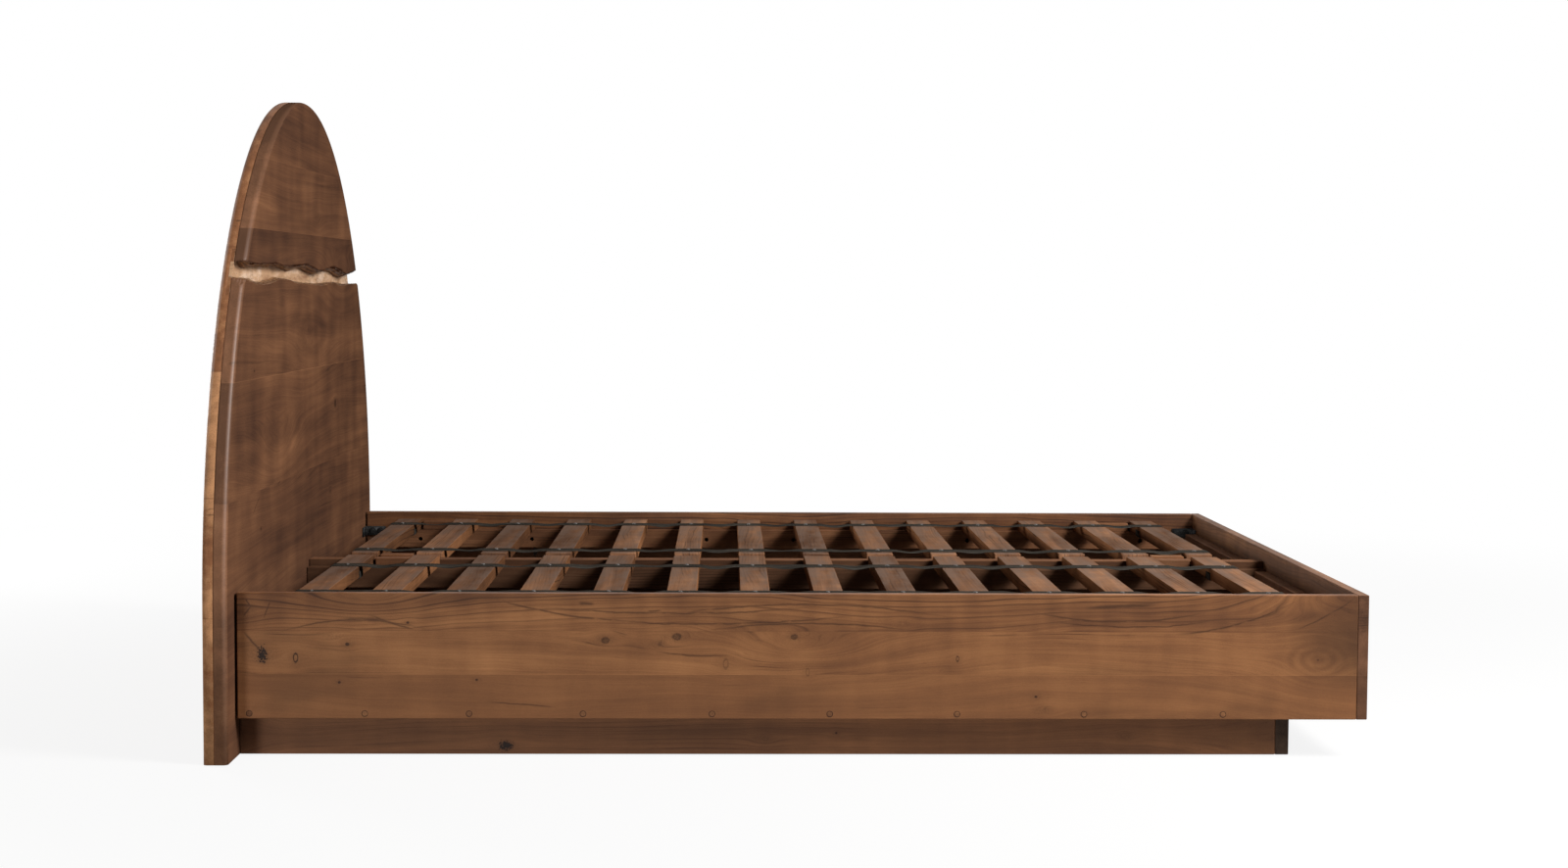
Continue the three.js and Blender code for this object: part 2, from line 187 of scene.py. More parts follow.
DRILL_LENGTH = 0.05                         # more than a ledger's thickness
WEBBING_THICKNESS = 0.0018
STRAP_TAIL = 0.011                          # how far below the deck the ends of a strap stop
STRAP_BEND = 0.004                          # how tightly it turns round a slat
STRAP_OVER = 0.010                          # how far in from a slat's edge the turn reaches
STRAP_LIE = 0.006                           # how far in from a slat's edge it last lies flat
PLUG_RADIUS = 0.0048
PLUG_GLUE = 0.0011                          # width of the dark ring about a plug
PLUG_HEIGHT = 0.0825
PLUG_PLACES = (0.026, 0.236, 0.426, 0.634, 0.870, 1.086, 1.320, 1.554, 1.811)
BRACKET_STEEL = 0.004
BRACKET_BEND = 0.006                        # outer radius
BRACKET_BOLTS = (0.018, 0.038)              # from the corner
HANGER_STEEL = 0.003
HANGER_BOLTS_ACROSS = (-0.010, 0.010)
HANGER_BOLTS_UP = (0.014, 0.038)
SQUARE_ON = 0.7                             # least share of a normal along the axis it faces


# ---- colours and node wiring ----
def stain(red, green, blue):
    """A swatch colour as the linear colour that a shader takes."""

    def linear(part):
        part /= 255
        return part / 12.92 if part <= 0.04045 else ((part + 0.055) / 1.055) ** 2.4

    return (linear(red), linear(green), linear(blue), 1.0)


class Wire:
    """A number or a vector in a node tree. Sums and products of wires add the nodes for them."""

    def __init__(self, wiring, socket):
        self.wiring = wiring
        self.socket = socket

    def worked(self, operation, a, b):
        if self.socket.type == "VALUE":
            return self.wiring.math(operation, a, b)
        return self.wiring.vector(operation, a, b)

    def __add__(self, other):
        return self.worked("ADD", self, other)

    def __sub__(self, other):
        return self.worked("SUBTRACT", self, other)

    def __rsub__(self, other):
        return self.worked("SUBTRACT", other, self)

    def __mul__(self, other):
        return self.worked("MULTIPLY", self, other)

    def __truediv__(self, other):
        return self.worked("DIVIDE", self, other)


class Outputs:
    """What a node gives, as wires found by name or by number."""

    def __init__(self, wiring, node):
        self.wiring = wiring
        self.node = node

    def __getitem__(self, key):
        return Wire(self.wiring, self.node.outputs[key])

    def __iter__(self):
        return (Wire(self.wiring, socket) for socket in self.node.outputs)


class Wiring:
    """Adds nodes to one tree and joins them up."""

    def __init__(self, tree):
        self.tree = tree

    def node(self, kind, inputs=None, **settings):
        made = self.tree.nodes.new(kind)
        for name, value in settings.items():
            setattr(made, name, value)
        for socket, value in (inputs or {}).items():
            target = made.inputs[socket]
            if isinstance(value, Wire):
                self.tree.links.new(value.socket, target)
            else:
                target.default_value = value
        return Outputs(self, made)

    def group(self, tree, inputs):
        return self.node("ShaderNodeGroup", inputs, node_tree=tree)

    def math(self, operation, a, b=0.0, clamp=False):
        return self.node("ShaderNodeMath", {0: a, 1: b}, operation=operation, use_clamp=clamp)[0]

    def vector(self, operation, a, b):
        return self.node("ShaderNodeVectorMath", {0: a, 1: b}, operation=operation)[0]

    def length(self, a):
        return self.node("ShaderNodeVectorMath", {0: a}, operation="LENGTH")["Value"]

    def noise(self, place, detail=2.0, roughness=0.5, scale=1.0):
        inputs = {"Vector": place, "Scale": scale, "Detail": detail, "Roughness": roughness}
        return self.node("ShaderNodeTexNoise", inputs)[0]

    def chance(self, number):
        """A random value and a random colour for each whole number."""
        return self.node("ShaderNodeTexWhiteNoise", {"W": number}, noise_dimensions="1D")

    def rise(self, value, low, high):
        """0 below low, 1 above high and a smooth rise between."""
        inputs = {"Value": value, "From Min": low, "From Max": high}
        return self.node("ShaderNodeMapRange", inputs, interpolation_type="SMOOTHSTEP")[0]

    def fall(self, value, low, high):
        """1 below low, 0 above high and a smooth fall between."""
        return self.math("SUBTRACT", 1.0, self.rise(value, low, high))

    def bell(self, value):
        """1 at 0, falling off smoothly to both sides."""
        return self.math("EXPONENT", value * value * -1.0)

    def greatest(self, values):
        return reduce(lambda a, b: self.math("MAXIMUM", a, b), values)

    def blend(self, factor, a, b):
        inputs = {0: factor, 6: a, 7: b}
        return self.node("ShaderNodeMix", inputs, data_type="RGBA", blend_type="MIX")[2]

    def ramp(self, value, stops):
        made = self.node("ShaderNodeValToRGB", {0: value})
        elements = made.node.color_ramp.elements
        while len(elements) < len(stops):
            elements.new(0.5)
        for element, (place, colour) in zip(elements, stops):
            element.position = place
            element.color = colour
        return made[0]

    def axes(self, vector):
        return self.node("ShaderNodeSeparateXYZ", {0: vector})

    def join(self, x, y, z):
        return self.node("ShaderNodeCombineXYZ", {0: x, 1: y, 2: z})[0]

    def place_on_piece(self):
        return self.node("ShaderNodeTexCoord")["Object"]

    def facing(self):
        """The axes of the surface's normal."""
        return self.axes(self.node("ShaderNodeNewGeometry")["True Normal"])

    def bump(self, height, strength, distance):
        inputs = {"Height": height, "Strength": strength, "Distance": distance}
        return self.node("ShaderNodeBump", inputs)[0]

    def surface(self, colour, roughness, normal, others):
        """Ends a material with its colour, roughness, bump and other inputs of the shader."""
        inputs = {"Base Color": colour, "Roughness": roughness, "Normal": normal} | others
        shader = self.node("ShaderNodeBsdfPrincipled", inputs)
        self.node("ShaderNodeOutputMaterial", {0: shader[0]})


def new_group(name, vectors, numbers, outputs):
    """An empty shader group: its tree, its wiring and what it is given."""
    tree = bpy.data.node_groups.new(name, "ShaderNodeTree")
    for label in vectors:
        tree.interface.new_socket(label, in_out="INPUT", socket_type="NodeSocketVector")
    for label in numbers:
        tree.interface.new_socket(label, in_out="INPUT", socket_type="NodeSocketFloat")
    for label in outputs:
        tree.interface.new_socket(label, in_out="OUTPUT", socket_type="NodeSocketFloat")
    w = Wiring(tree)
    return tree, w, w.node("NodeGroupInput")


def new_material(name):
    """A material without nodes, and its wiring."""
    material = bpy.data.materials.new(name)
    material.use_nodes = True
    material.node_tree.nodes.clear()
    return material, Wiring(material.node_tree)


# ---- timber ----
FIBRE_STRETCH = (7.0, 420.0, 420.0)         # fibres and pores run along the grain
PORE_STRETCH = (60.0, 1500.0, 1500.0)
VEIN_AT = 0.72                              # where in its spacing a vein lies


def timber_figure():
    """The figure of a board whose grain runs along X, with Y across its face and Z through it:
    a tone about 0.5, thin dark veins, open pores and patches of grey."""
    tree, w, given = new_group(
        "timber_figure", ["Place"], ["Seed", "Push", "Spacing", "Sway", "Veins", "Calm"],
        ["Tone", "Vein", "Pore", "Grey"])
    shift = (w.chance(given["Seed"])["Color"] + (0.5, 0.5, 0.5)) * (41.0, 23.0, 17.0)
    place = given["Place"]
    along, across, through = w.axes(place)

    def field(stretch, detail=2.0, roughness=0.5, at=place):
        """Noise about 0, with its own stretch along, across and through the board."""
        return w.noise(at * stretch + shift, detail, roughness) - 0.5

    # The grain flows: `level` is the place across the board before the tree bent it.
    sway = field((1.1, 3.5, 3.5), 1.0) * 2.0 + field((3.6, 14.0, 14.0)) * 0.45
    level = across + given["Push"] + sway * given["Sway"]
    flow = w.join(along, level, through)
    fibre = field(FIBRE_STRETCH, 3.0, 0.65, flow)
    band = field((1.1, 48.0, 48.0), 3.0, 0.55, flow)
    cloud = field((3.4, 11.0, 11.0), 3.0, 0.55)
    curl = field((26.0, 5.0, 5.0), 1.0)
    speckle = field((620.0, 620.0, 620.0), 1.0)
    # Veins are thin lines along the flow, each with its own weight, that fade in and out.
    count = level / given["Spacing"] + field((2.6, 22.0, 22.0)) * 1.6
    within = w.math("FRACT", count)
    weight = w.chance(w.math("FLOOR", count) + given["Seed"])["Value"]
    line = w.bell((within - VEIN_AT) / (weight * 0.07 + 0.05))
    room = field((1.7, 7.5, 7.5)) + given["Veins"] + field((9.0, 60.0, 60.0)) * 0.5
    vein = line * w.rise(weight, 0.25, 0.95) * w.rise(room, -0.04, 0.12)
    shade = (w.rise(within, 0.30, VEIN_AT) * w.fall(within, VEIN_AT, 0.84)
             * w.rise(room, -0.06, 0.16))
    # A calm board shows broad clouds and curl, a lively one shows its bands.
    tone = cloud * 0.95 * (given["Calm"] + 1.0) + 0.5
    tone = (band * 0.85 + shade * 0.12) * (1.0 - given["Calm"]) + tone
    tone = curl * (given["Calm"] + 0.26) + (fibre * 0.50 + speckle * 0.34) + tone
    pore = w.rise(field(PORE_STRETCH, 2.0, 0.6, flow), 0.10, 0.20)
    grey = w.rise(field((2.2, 8.0, 8.0), 3.0, 0.6), 0.02, 0.20)
    w.node("NodeGroupOutput", {0: tone, 1: vein, 2: pore, 3: grey})
    return tree


def timber_knot():
    """A knot: how far it pushes the grain aside, its black heart, the smudge and rings about it. For the shade kinds
    the smudge is a patch of painted shade.
    """
    tree, w, given = new_group(
        "timber_knot", ["Place", "Centre", "Reach", "Heart"], ["Lift", "Hollow", "Ragged"],
        ["Push", "Heart", "Smudge", "Rings"])
    away = (given["Place"] - given["Centre"]) * (1.0, 1.0, 0.0)
    spread = w.length(away / given["Reach"])
    push = (w.axes(away)["Y"] * -0.85 + given["Lift"]) * w.bell(spread)
    ragged = w.noise(given["Place"] * (330.0, 330.0, 30.0), 3.0, 0.62)
    inner = w.length(away / given["Heart"]) + (ragged - 0.5) * given["Ragged"]
    open_middle = w.fall(inner, 0.42, 0.70) * given["Hollow"]
    heart = w.math("SUBTRACT", w.fall(inner, 0.62, 1.0), open_middle, clamp=True)
    grain = w.greatest([w.rise(ragged, 0.25, 0.75), 1.0 - given["Ragged"]])
    # The smudge darkens about a knot; for the shade kinds it is all there is, a patch of painted shade.
    smudge = w.fall(spread, 0.10, 0.95) * grain
    wavy = spread + (ragged - 0.5) * 0.25
    rings = w.math("SINE", wavy * 17.0) * w.fall(spread, 0.55, 1.25)
    w.node("NodeGroupOutput", {0: push, 1: heart, 2: smudge, 3: rings})
    return tree


def timber_crack():
    """One dark line drawn on a board: a bowed stroke that thins towards its ends."""
    tree, w, given = new_group(
        "timber_crack", ["Place", "Centre"], ["Half Length", "Slope", "Bow", "Width"], ["Line"])
    along, across, _ = w.axes(given["Place"] - given["Centre"])
    share = along / given["Half Length"]
    course = along * given["Slope"] + share * share * given["Bow"]
    wobble = w.noise(given["Place"] * (24.0, 50.0, 10.0), 3.0, 0.6)
    off = across - course + (wobble - 0.5) * 0.007
    stroke = w.bell(off / given["Width"])
    ends = w.fall(w.math("ABSOLUTE", share), 0.45, 1.0)
    patchy = w.rise(wobble, 0.26, 0.46)
    w.node("NodeGroupOutput", {0: stroke * ends * patchy})
    return tree


def timber_relief():
    """Raised fibres and open pores for a board's bump."""
    tree, w, given = new_group("timber_relief", ["Place"], [], ["Height"])
    fibre = w.noise(given["Place"] * FIBRE_STRETCH, 3.0, 0.65)
    pore = w.noise(given["Place"] * PORE_STRETCH, 2.0, 0.6)
    w.node("NodeGroupOutput", {0: fibre - w.rise(pore, 0.60, 0.70) * 0.6})
    return tree


RELIEF = timber_relief()
FIGURE = timber_figure()
KNOT = timber_knot()
CRACK = timber_crack()

# One of the boards that a panel is glued up from: where it starts across the grain, how much darker
# it is, how dark its first glue line is, how many more veins it has and how lively its figure is.
Board = namedtuple("Board", "start darker seam veins lively", defaults=(0.0, 0.0, 0.0, 1.0))

# Traits of a knot. `reach` is how far it bends the grain along and across, `lift` how far it shifts
# it, `heart` the half size of its black heart, and the others say how strong each trait is.
PLAIN_KNOT = dict(lift=0.0, heart=(0.0001, 0.0001), hollow=0.0, ragged=0.0, black=0.0, smear=0.0,
                  ringed=0.0)
KNOT_KINDS = {
    "burst": dict(reach=(0.045, 0.026), heart=(0.0082, 0.0150), ragged=3.6, black=0.95, smear=0.85),
    "slit": dict(reach=(0.026, 0.020), heart=(0.0056, 0.0114), hollow=1.0, ragged=0.5, black=1.0,
                 smear=0.30),
    # The next two kinds are no knots but broad patches of painted shade, drawn by their smudge alone.
    "shade": dict(reach=(0.130, 0.150), smear=0.42),
    "dusk": dict(reach=(0.160, 0.095), smear=1.18),
    "ghost": dict(reach=(0.034, 0.024), heart=(0.0056, 0.0114), hollow=1.0, ragged=0.7, black=0.42,
                  smear=0.30),
    "pin": dict(reach=(0.022, 0.012), heart=(0.0042, 0.0036), ragged=0.7, black=0.75, smear=0.60),
    "spot": dict(reach=(0.030, 0.014), heart=(0.0085, 0.0066), hollow=0.3, ragged=1.2, black=0.70,
                 smear=0.75),
    "smudge": dict(reach=(0.034, 0.015), lift=0.002, ragged=1.0, smear=0.65),
    "eye": dict(reach=(0.048, 0.030), lift=0.004, heart=(0.0022, 0.0018), ragged=0.6, black=0.45,
                smear=0.80, ringed=0.07),
    "swirl": dict(reach=(0.120, 0.040), lift=0.026),
    "whorl": dict(reach=(0.300, 0.085), lift=0.010, ringed=0.045),
    "cluster": dict(reach=(0.045, 0.022), heart=(0.0135, 0.0100), ragged=3.4, black=0.95, smear=0.85),
}


def glued_boards(w, boards, across, seed, veins, contrast):
    """What changes from board to board: (seed, tone, middle) as one vector, the number of veins, how
    lively the figure is, and the dark glue lines."""
    ends = [board.start for board in boards[1:]] + [boards[-1].start + 0.2]
    middles = [(board.start + end) / 2 for board, end in zip(boards, ends)]
    facts = w.join(seed, boards[0].darker, middles[0])
    veins += boards[0].veins
    lively = contrast * boards[0].lively
    seams = []
    for index in range(1, len(boards)):
        before, board = boards[index - 1], boards[index]
        step = w.math("GREATER_THAN", across, board.start)
        change = (1.37, board.darker - before.darker, middles[index] - middles[index - 1])
        inputs = {0: change, 1: w.join(step, step, step), 2: facts}
        facts = w.node("ShaderNodeVectorMath", inputs, operation="MULTIPLY_ADD")[0]
        if board.veins != before.veins:
            veins = step * (board.veins - before.veins) + veins
        if board.lively != before.lively:
            lively = step * (contrast * (board.lively - before.lively)) + lively
        off = w.math("ABSOLUTE", across - board.start) / 0.0010
        seams.append(w.fall(off, 0.3, 1.0) * board.seam)
    return facts, veins, lively, seams


def knotted(w, knots, origin, spot):
    """How far the knots push the grain in all, and lists of their hearts, of their smudge and painted shade marks, and
    of their rings.
    """
    push, hearts, smudges_and_shade, rings = 0.0, [], [], []
    for kind, along, across, size in knots:
        traits = PLAIN_KNOT | KNOT_KINDS[kind]
        reach, heart = traits["reach"], traits["heart"]
        found = w.group(KNOT, {
            "Place": spot, "Centre": (origin + along, across, 0.0), "Lift": traits["lift"] * size,
            "Reach": (reach[0] * size, reach[1] * size, 1.0),
            "Heart": (heart[0] * size, heart[1] * size, 1.0),
            "Hollow": traits["hollow"], "Ragged": traits["ragged"]})
        push = found["Push"] + push
        for output, trait, marks in (("Heart", "black", hearts), ("Smudge", "smear", smudges_and_shade),
                                     ("Rings", "ringed", rings)):
            if traits[trait]:
                marks.append(found[output] * traits[trait])
    return push, hearts, smudges_and_shade, rings


def cracked(w, cracks, origin, spot):
    """The strokes of the cracks."""
    strokes = []
    for along, across, half_length, slope, bow, width in cracks:
        strokes.append(w.group(CRACK, {
            "Place": spot, "Centre": (origin + along, across, 0.0), "Half Length": half_length,
            "Slope": slope, "Bow": bow, "Width": width})["Line"])
    return strokes


def burnished_rim(w, facing, strongest, least, rubbed_from, rubbed_to):
    """How polished a rounded rim is: most where it has turned a little towards `facing` (1 is the
    bed, -1 the wall), `least` near the floor and nothing towards the crown of the arch."""
    normal = w.facing()
    turned_by = normal["X"] * facing
    band = (w.rise(turned_by, 0.02, 0.38) * w.fall(turned_by, 0.62, 0.96)
            * w.fall(normal["Z"], 0.80, 0.92))
    height = w.axes(w.place_on_piece())["Z"]
    lower = w.rise(height, rubbed_from, rubbed_from + 0.45) * (strongest - least) + least
    return band * (lower * w.fall(height, rubbed_to, rubbed_to + 0.30))


def timber(name, grain, tones, boards=(Board(0.0),), knots=(), cracks=(), origin=0.0, spacing=0.009,
           sway=0.03, veins=0.0, calm=0.0, stretch=1.0, seed=1.0, roughness=0.50, specular=0.25,
           contrast=1.0, own_place=False, dust=0.0, burnish=None):
    """Oiled or sanded wood. `grain` names the axes that run along, across and through a board, and
    `tones` are its light, middle, dark and vein colours. `knots` lists (kind, along, across, size)
    and `cracks` lists (along, across, half length, slope, bow, width), along from `origin`. With
    `own_place` each board of a bank has its own figure and tone."""
    light, middle, dark, vein_tone = (stain(*tone) for tone in tones)
    material, w = new_material(name)
    if own_place:
        apart = w.axes(w.node("ShaderNodeAttribute", attribute_name="board_place")["Vector"])
        place = spot = w.join(*(apart[axis] for axis in grain))
        lot = w.node("ShaderNodeAttribute", attribute_name="board_lot")["Fac"]
        board_seed = lot * 53.0 + seed
        board_tone = (lot - 0.5) * 0.40
        lively, seams = contrast, []
    else:
        apart = w.axes(w.place_on_piece())
        along, across, through = (apart[axis] for axis in grain)
        facts, veins, lively, seams = glued_boards(w, boards, across, seed, veins, contrast)
        board_seed, board_tone, board_middle = w.axes(facts)
        place = w.join(along * stretch, across - board_middle, through)
        spot = w.join(along, across, through)
    push, hearts, smudges_and_shade, rings = knotted(w, knots, origin, spot)
    strokes = cracked(w, cracks, origin, spot)
    tone, vein, pore, grey = w.group(FIGURE, {
        "Place": place, "Seed": board_seed, "Push": push, "Spacing": spacing, "Sway": sway,
        "Veins": veins, "Calm": calm})
    depth = (tone - 0.5) * lively + board_tone + 0.5
    for darker in (seams, rings):
        if darker:
            depth = depth + sum(darker[1:], darker[0])
    pale = tuple(min(1.0, 1.35 * part) for part in light)
    colour = w.ramp(depth, [(0.0, pale), (0.22, light), (0.50, middle), (0.80, dark)])
    colour = w.blend(grey * (0.30 * contrast), colour, vein_tone)
    # Smudges about knots darken towards the vein tone, and so do the shade kinds' patches of painted shade.
    if smudges_and_shade:
        colour = w.blend(w.greatest(smudges_and_shade) * 0.60, colour, vein_tone)
    if strokes:
        vein = w.greatest([vein, w.greatest(strokes)])
    colour = w.blend(vein * (0.80 * contrast), colour, vein_tone)
    colour = w.blend(pore * 0.22, colour, vein_tone)
    # Upward faces turn grey: settled dust, and a painted grey sheen of light grazing the tops.
    if dust:
        settled = w.rise(w.noise(place * (7.0, 30.0, 30.0), 4.0, 0.6), 0.30, 0.70)
        lying = settled * w.rise(w.facing()["Z"], 0.5, 0.9)
        colour = w.blend(lying * dust, colour, stain(128, 108, 96))
    if hearts:
        colour = w.blend(w.greatest(hearts), colour, stain(30, 25, 24))
    shine = w.math("ADD", tone * 0.14 + pore * 0.12, roughness - 0.07, clamp=True)
    relief = w.bump(w.group(RELIEF, {"Place": place})["Height"], 0.30, 0.0004)
    others = {"Specular IOR Level": specular}
    if burnish:
        coat = burnished_rim(w, *burnish)
        others |= {"Coat Weight": coat, "Coat Roughness": 0.52, "Coat IOR": 2.1}
    w.surface(colour, shine, relief, others)
    return material


# ---- other finishes ----
def raw_inset():
    """The pale strip seen through the split: raw, chiselled and flecked."""
    material, w = new_material("inset_raw_wood")
    here = w.place_on_piece()
    patches = w.noise(here * (1.0, 7.0, 30.0), 5.0, 0.62)
    colour = w.ramp(patches, [(0.34, stain(158, 114, 80)), (0.50, stain(204, 164, 126)),
                              (0.64, stain(232, 202, 176))])
    grey = w.noise(here * (1.0, 11.0, 60.0), 5.0, 0.7)
    colour = w.blend(w.rise(grey, 0.50, 0.68) * 0.65, colour, stain(146, 108, 78))
    fleck = w.noise(here * (1.0, 90.0, 300.0), 2.0, 0.6)
    colour = w.blend(w.rise(fleck, 0.58, 0.70) * 0.6, colour, stain(110, 76, 52))
    w.surface(colour, 0.78, w.bump(fleck, 0.5, 0.0008), {})
    return material


def live_edge_wood():
    """The brushed live edge of a slab: thin light and dark layers that follow the face."""
    material, w = new_material("live_edge_wood")
    here = w.place_on_piece()
    drift = w.noise(here * (20.0, 9.0, 30.0), 3.0, 0.5)
    layer = w.axes(here)["X"] * 210.0 + drift * 5.0
    band = w.math("PINGPONG", layer, 1.0)
    colour = w.ramp(band, [(0.0, stain(92, 64, 40)), (0.55, stain(140, 100, 64)),
                           (1.0, stain(182, 138, 94))])
    mottle = w.noise(here * (60.0, 24.0, 60.0), 4.0, 0.65)
    colour = w.blend(w.rise(mottle, 0.45, 0.7) * 0.6, colour, stain(84, 58, 38))
    w.surface(colour, 0.6, w.bump(band, 0.5, 0.0010), {})
    return material


def webbing_weave():
    """Grey woven webbing; UV runs in metres along and across the strap."""
    material, w = new_material("grey_webbing_weave")
    run, across, _ = w.axes(w.node("ShaderNodeUVMap", uv_map="strap")[0])
    warp = w.math("ABSOLUTE", w.math("SINE", across * 2200.0))
    weft = w.math("ABSOLUTE", w.math("SINE", run * 1500.0 + across * 1100.0))
    height = warp * weft
    wear = w.noise(w.join(run * 9.0, across * 60.0, 0.0), 3.0, 0.6)
    colour = w.ramp(wear, [(0.3, stain(54, 50, 46)), (0.55, stain(77, 72, 66)),
                           (0.8, stain(104, 98, 90))])
    # The weave's hollows are painted darker: painted shade between the yarns.
    colour = w.blend((1.0 - height) * 0.35, colour, stain(34, 34, 33))
    w.surface(colour, 0.90, w.bump(height, 0.7, 0.0005), {"Specular IOR Level": 0.0})
    return material


def metal(name, colour, worn, roughness, metallic, specular):
    """Plated or painted steel with faint mottling and rubbed spots."""
    material, w = new_material(name)
    mottle = w.noise(w.place_on_piece(), 4.0, 0.6, 180.0)
    tone = w.ramp(mottle, [(0.35, colour), (0.62, colour), (0.80, worn)])
    rough = w.math("ADD", mottle * 0.25, roughness - 0.1, clamp=True)
    relief = w.bump(mottle, 0.15, 0.0003)
    w.surface(tone, rough, relief, {"Metallic": metallic, "Specular IOR Level": specular})
    return material


# ---- the bed's own wood: tones, boards, knots and cracks ----
# Four tones each: light, middle, dark and vein.
WALNUT = ((162, 112, 73), (135, 91, 60), (104, 69, 48), (60, 43, 34))
HEADBOARD_WALNUT = ((136, 95, 68), (110, 76, 56), (82, 57, 45), (57, 42, 35))
EDGE_WALNUT = ((176, 128, 90), (142, 95, 64), (110, 73, 51), (64, 47, 38))
SIDE_WALNUT = ((164, 119, 89), (138, 98, 73), (108, 77, 59), (66, 49, 40))
PLINTH_WALNUT = ((150, 102, 69), (125, 85, 59), (99, 67, 49), (58, 43, 35))
FAR_WALNUT = ((132, 90, 60), (109, 73, 50), (83, 55, 40), (50, 37, 30))
SLAT_WOOD = ((168, 123, 92), (141, 101, 75), (109, 79, 61), (66, 52, 45))
FOOT_WALNUT = ((150, 107, 74), (123, 86, 61), (95, 67, 49), (57, 42, 34))
FOOT_END_WOOD = ((122, 86, 64), (102, 71, 53), (80, 56, 43), (52, 38, 31))
PLINTH_END_WOOD = ((88, 70, 57), (72, 57, 47), (56, 44, 37), (38, 30, 26))
FRAME_WOOD = ((148, 104, 74), (122, 83, 58), (92, 62, 45), (60, 43, 34))
# A darker copy of the frame wood for what lies under the deck: painted shade.
UNDER_DECK_SHADE_WOOD = ((118, 86, 65), (95, 67, 50), (71, 50, 38), (45, 34, 28))
SLAT_SIDE_WOOD = ((146, 100, 68), (122, 82, 55), (94, 63, 44), (58, 43, 34))
PLUG_WOOD = ((146, 101, 67), (121, 82, 56), (96, 65, 46), (58, 43, 34))
GLUE = ((62, 44, 34), (50, 36, 28), (40, 29, 24), (30, 22, 19))

HEADBOARD_BOARDS = (
    Board(0.0, 0.06), Board(0.250, 0.03, 0.03), Board(0.470, -0.01, -0.04, -0.05),
    Board(0.685, 0.00, -0.22), Board(0.887, 0.14, 0.0, -0.05), Board(0.970, -0.05, 0.10),
    Board(1.108, 0.02, -0.08))
SIDE_BOARDS = (
    Board(0.0, 0.06), Board(0.250, 0.10, 0.03), Board(0.470, 0.28, -0.04, -0.05),
    Board(0.685, 0.08, -0.10), Board(0.887, 0.36, 0.0, -0.05), Board(0.970, 0.16, 0.10),
    Board(1.108, 0.26))
BACK_BOARDS = (
    Board(0.0, -0.24), Board(0.265, -0.20, 0.2), Board(0.480, -0.32, 0.4), Board(0.705, 0.00, 0.1),
    Board(0.935, -0.04, 0.1), Board(1.110, 0.06))
BACK_FACE_BOARDS = (
    Board(0.0, 0.05), Board(0.265, 0.00, 0.2), Board(0.480, -0.18, 0.4), Board(0.705, 0.02, 0.1),
    Board(0.935, -0.02, 0.1), Board(1.110, 0.08))
RAIL_BOARDS = (
    Board(0.073, 0.01, 0.0, -0.12, 0.5), Board(0.155, -0.06, -0.10, -0.06, 0.85),
    Board(0.235, 0.04, 0.05, 0.16, 1.1))

# Marks on the rails and the plinth are measured from the headboard's face, those on the headboard
# from its middle.
# The mark at 2.090 near the foot end is painted shade, darker where the light falls off; the smudge at 0.010 darkens
# the rail's top corner beside the headboard.
NEAR_RAIL_KNOTS = (
    ("burst", 0.051, 0.190, 1.10), ("slit", 0.111, 0.185, 1.0), ("smudge", 0.180, 0.225, 0.9),
    ("pin", 0.205, 0.210, 1.1), ("smudge", 0.010, 0.270, 1.6), ("pin", 0.190, 0.140, 0.8),
    ("pin", 0.440, 0.145, 0.7), ("pin", 0.315, 0.250, 0.8), ("spot", 0.675, 0.218, 1.1),
    ("spot", 0.805, 0.225, 1.2), ("smudge", 0.770, 0.210, 1.0), ("ghost", 0.895, 0.175, 1.1),
    ("spot", 1.020, 0.225, 0.9), ("ghost", 1.045, 0.160, 0.8), ("smudge", 1.220, 0.250, 0.8),
    ("slit", 1.320, 0.185, 0.6), ("pin", 1.465, 0.115, 0.8), ("smudge", 1.480, 0.090, 1.0),
    ("pin", 1.555, 0.085, 0.7), ("eye", 1.985, 0.184, 1.3), ("dusk", 2.090, 0.220, 1.5),
    ("swirl", 0.245, 0.310, 0.9), ("swirl", 1.050, 0.220, 1.3), ("swirl", 2.060, 0.310, -1.6))
NEAR_RAIL_CRACKS = (
    (0.215, 0.255, 0.150, 0.02, -0.025, 0.0015), (0.285, 0.250, 0.050, -0.32, 0.000, 0.0022),
    (0.235, 0.255, 0.045, 0.00, 0.000, 0.0040), (0.600, 0.265, 0.150, -0.16, 0.012, 0.0018),
    (1.040, 0.285, 0.300, 0.00, -0.030, 0.0014), (1.050, 0.250, 0.220, 0.00, -0.018, 0.0015),
    (0.835, 0.190, 0.075, -0.05, 0.006, 0.0014), (1.617, 0.254, 0.190, 0.00, 0.026, 0.0015),
    (1.640, 0.244, 0.170, 0.00, 0.016, 0.0012), (1.620, 0.283, 0.075, 0.05, 0.000, 0.0034),
    (1.826, 0.247, 0.130, 0.26, 0.018, 0.0017), (2.000, 0.266, 0.060, 0.55, 0.006, 0.0014),
    (0.034, 0.213, 0.020, -1.10, 0.000, 0.0028), (0.800, 0.268, 0.290, 0.00, 0.016, 0.0016),
    (0.900, 0.249, 0.260, 0.02, 0.014, 0.0014), (0.520, 0.100, 0.070, -0.08, 0.000, 0.0012),
    (0.026, 0.285, 0.007, -1.39, 0.000, 0.0026), (0.024, 0.271, 0.009, 1.25, 0.000, 0.0024),
    (0.060, 0.274, 0.007, 2.40, 0.000, 0.0030), (0.640, 0.286, 0.017, -0.05, 0.000, 0.0032),
    (0.764, 0.272, 0.015, 0.05, 0.000, 0.0020))
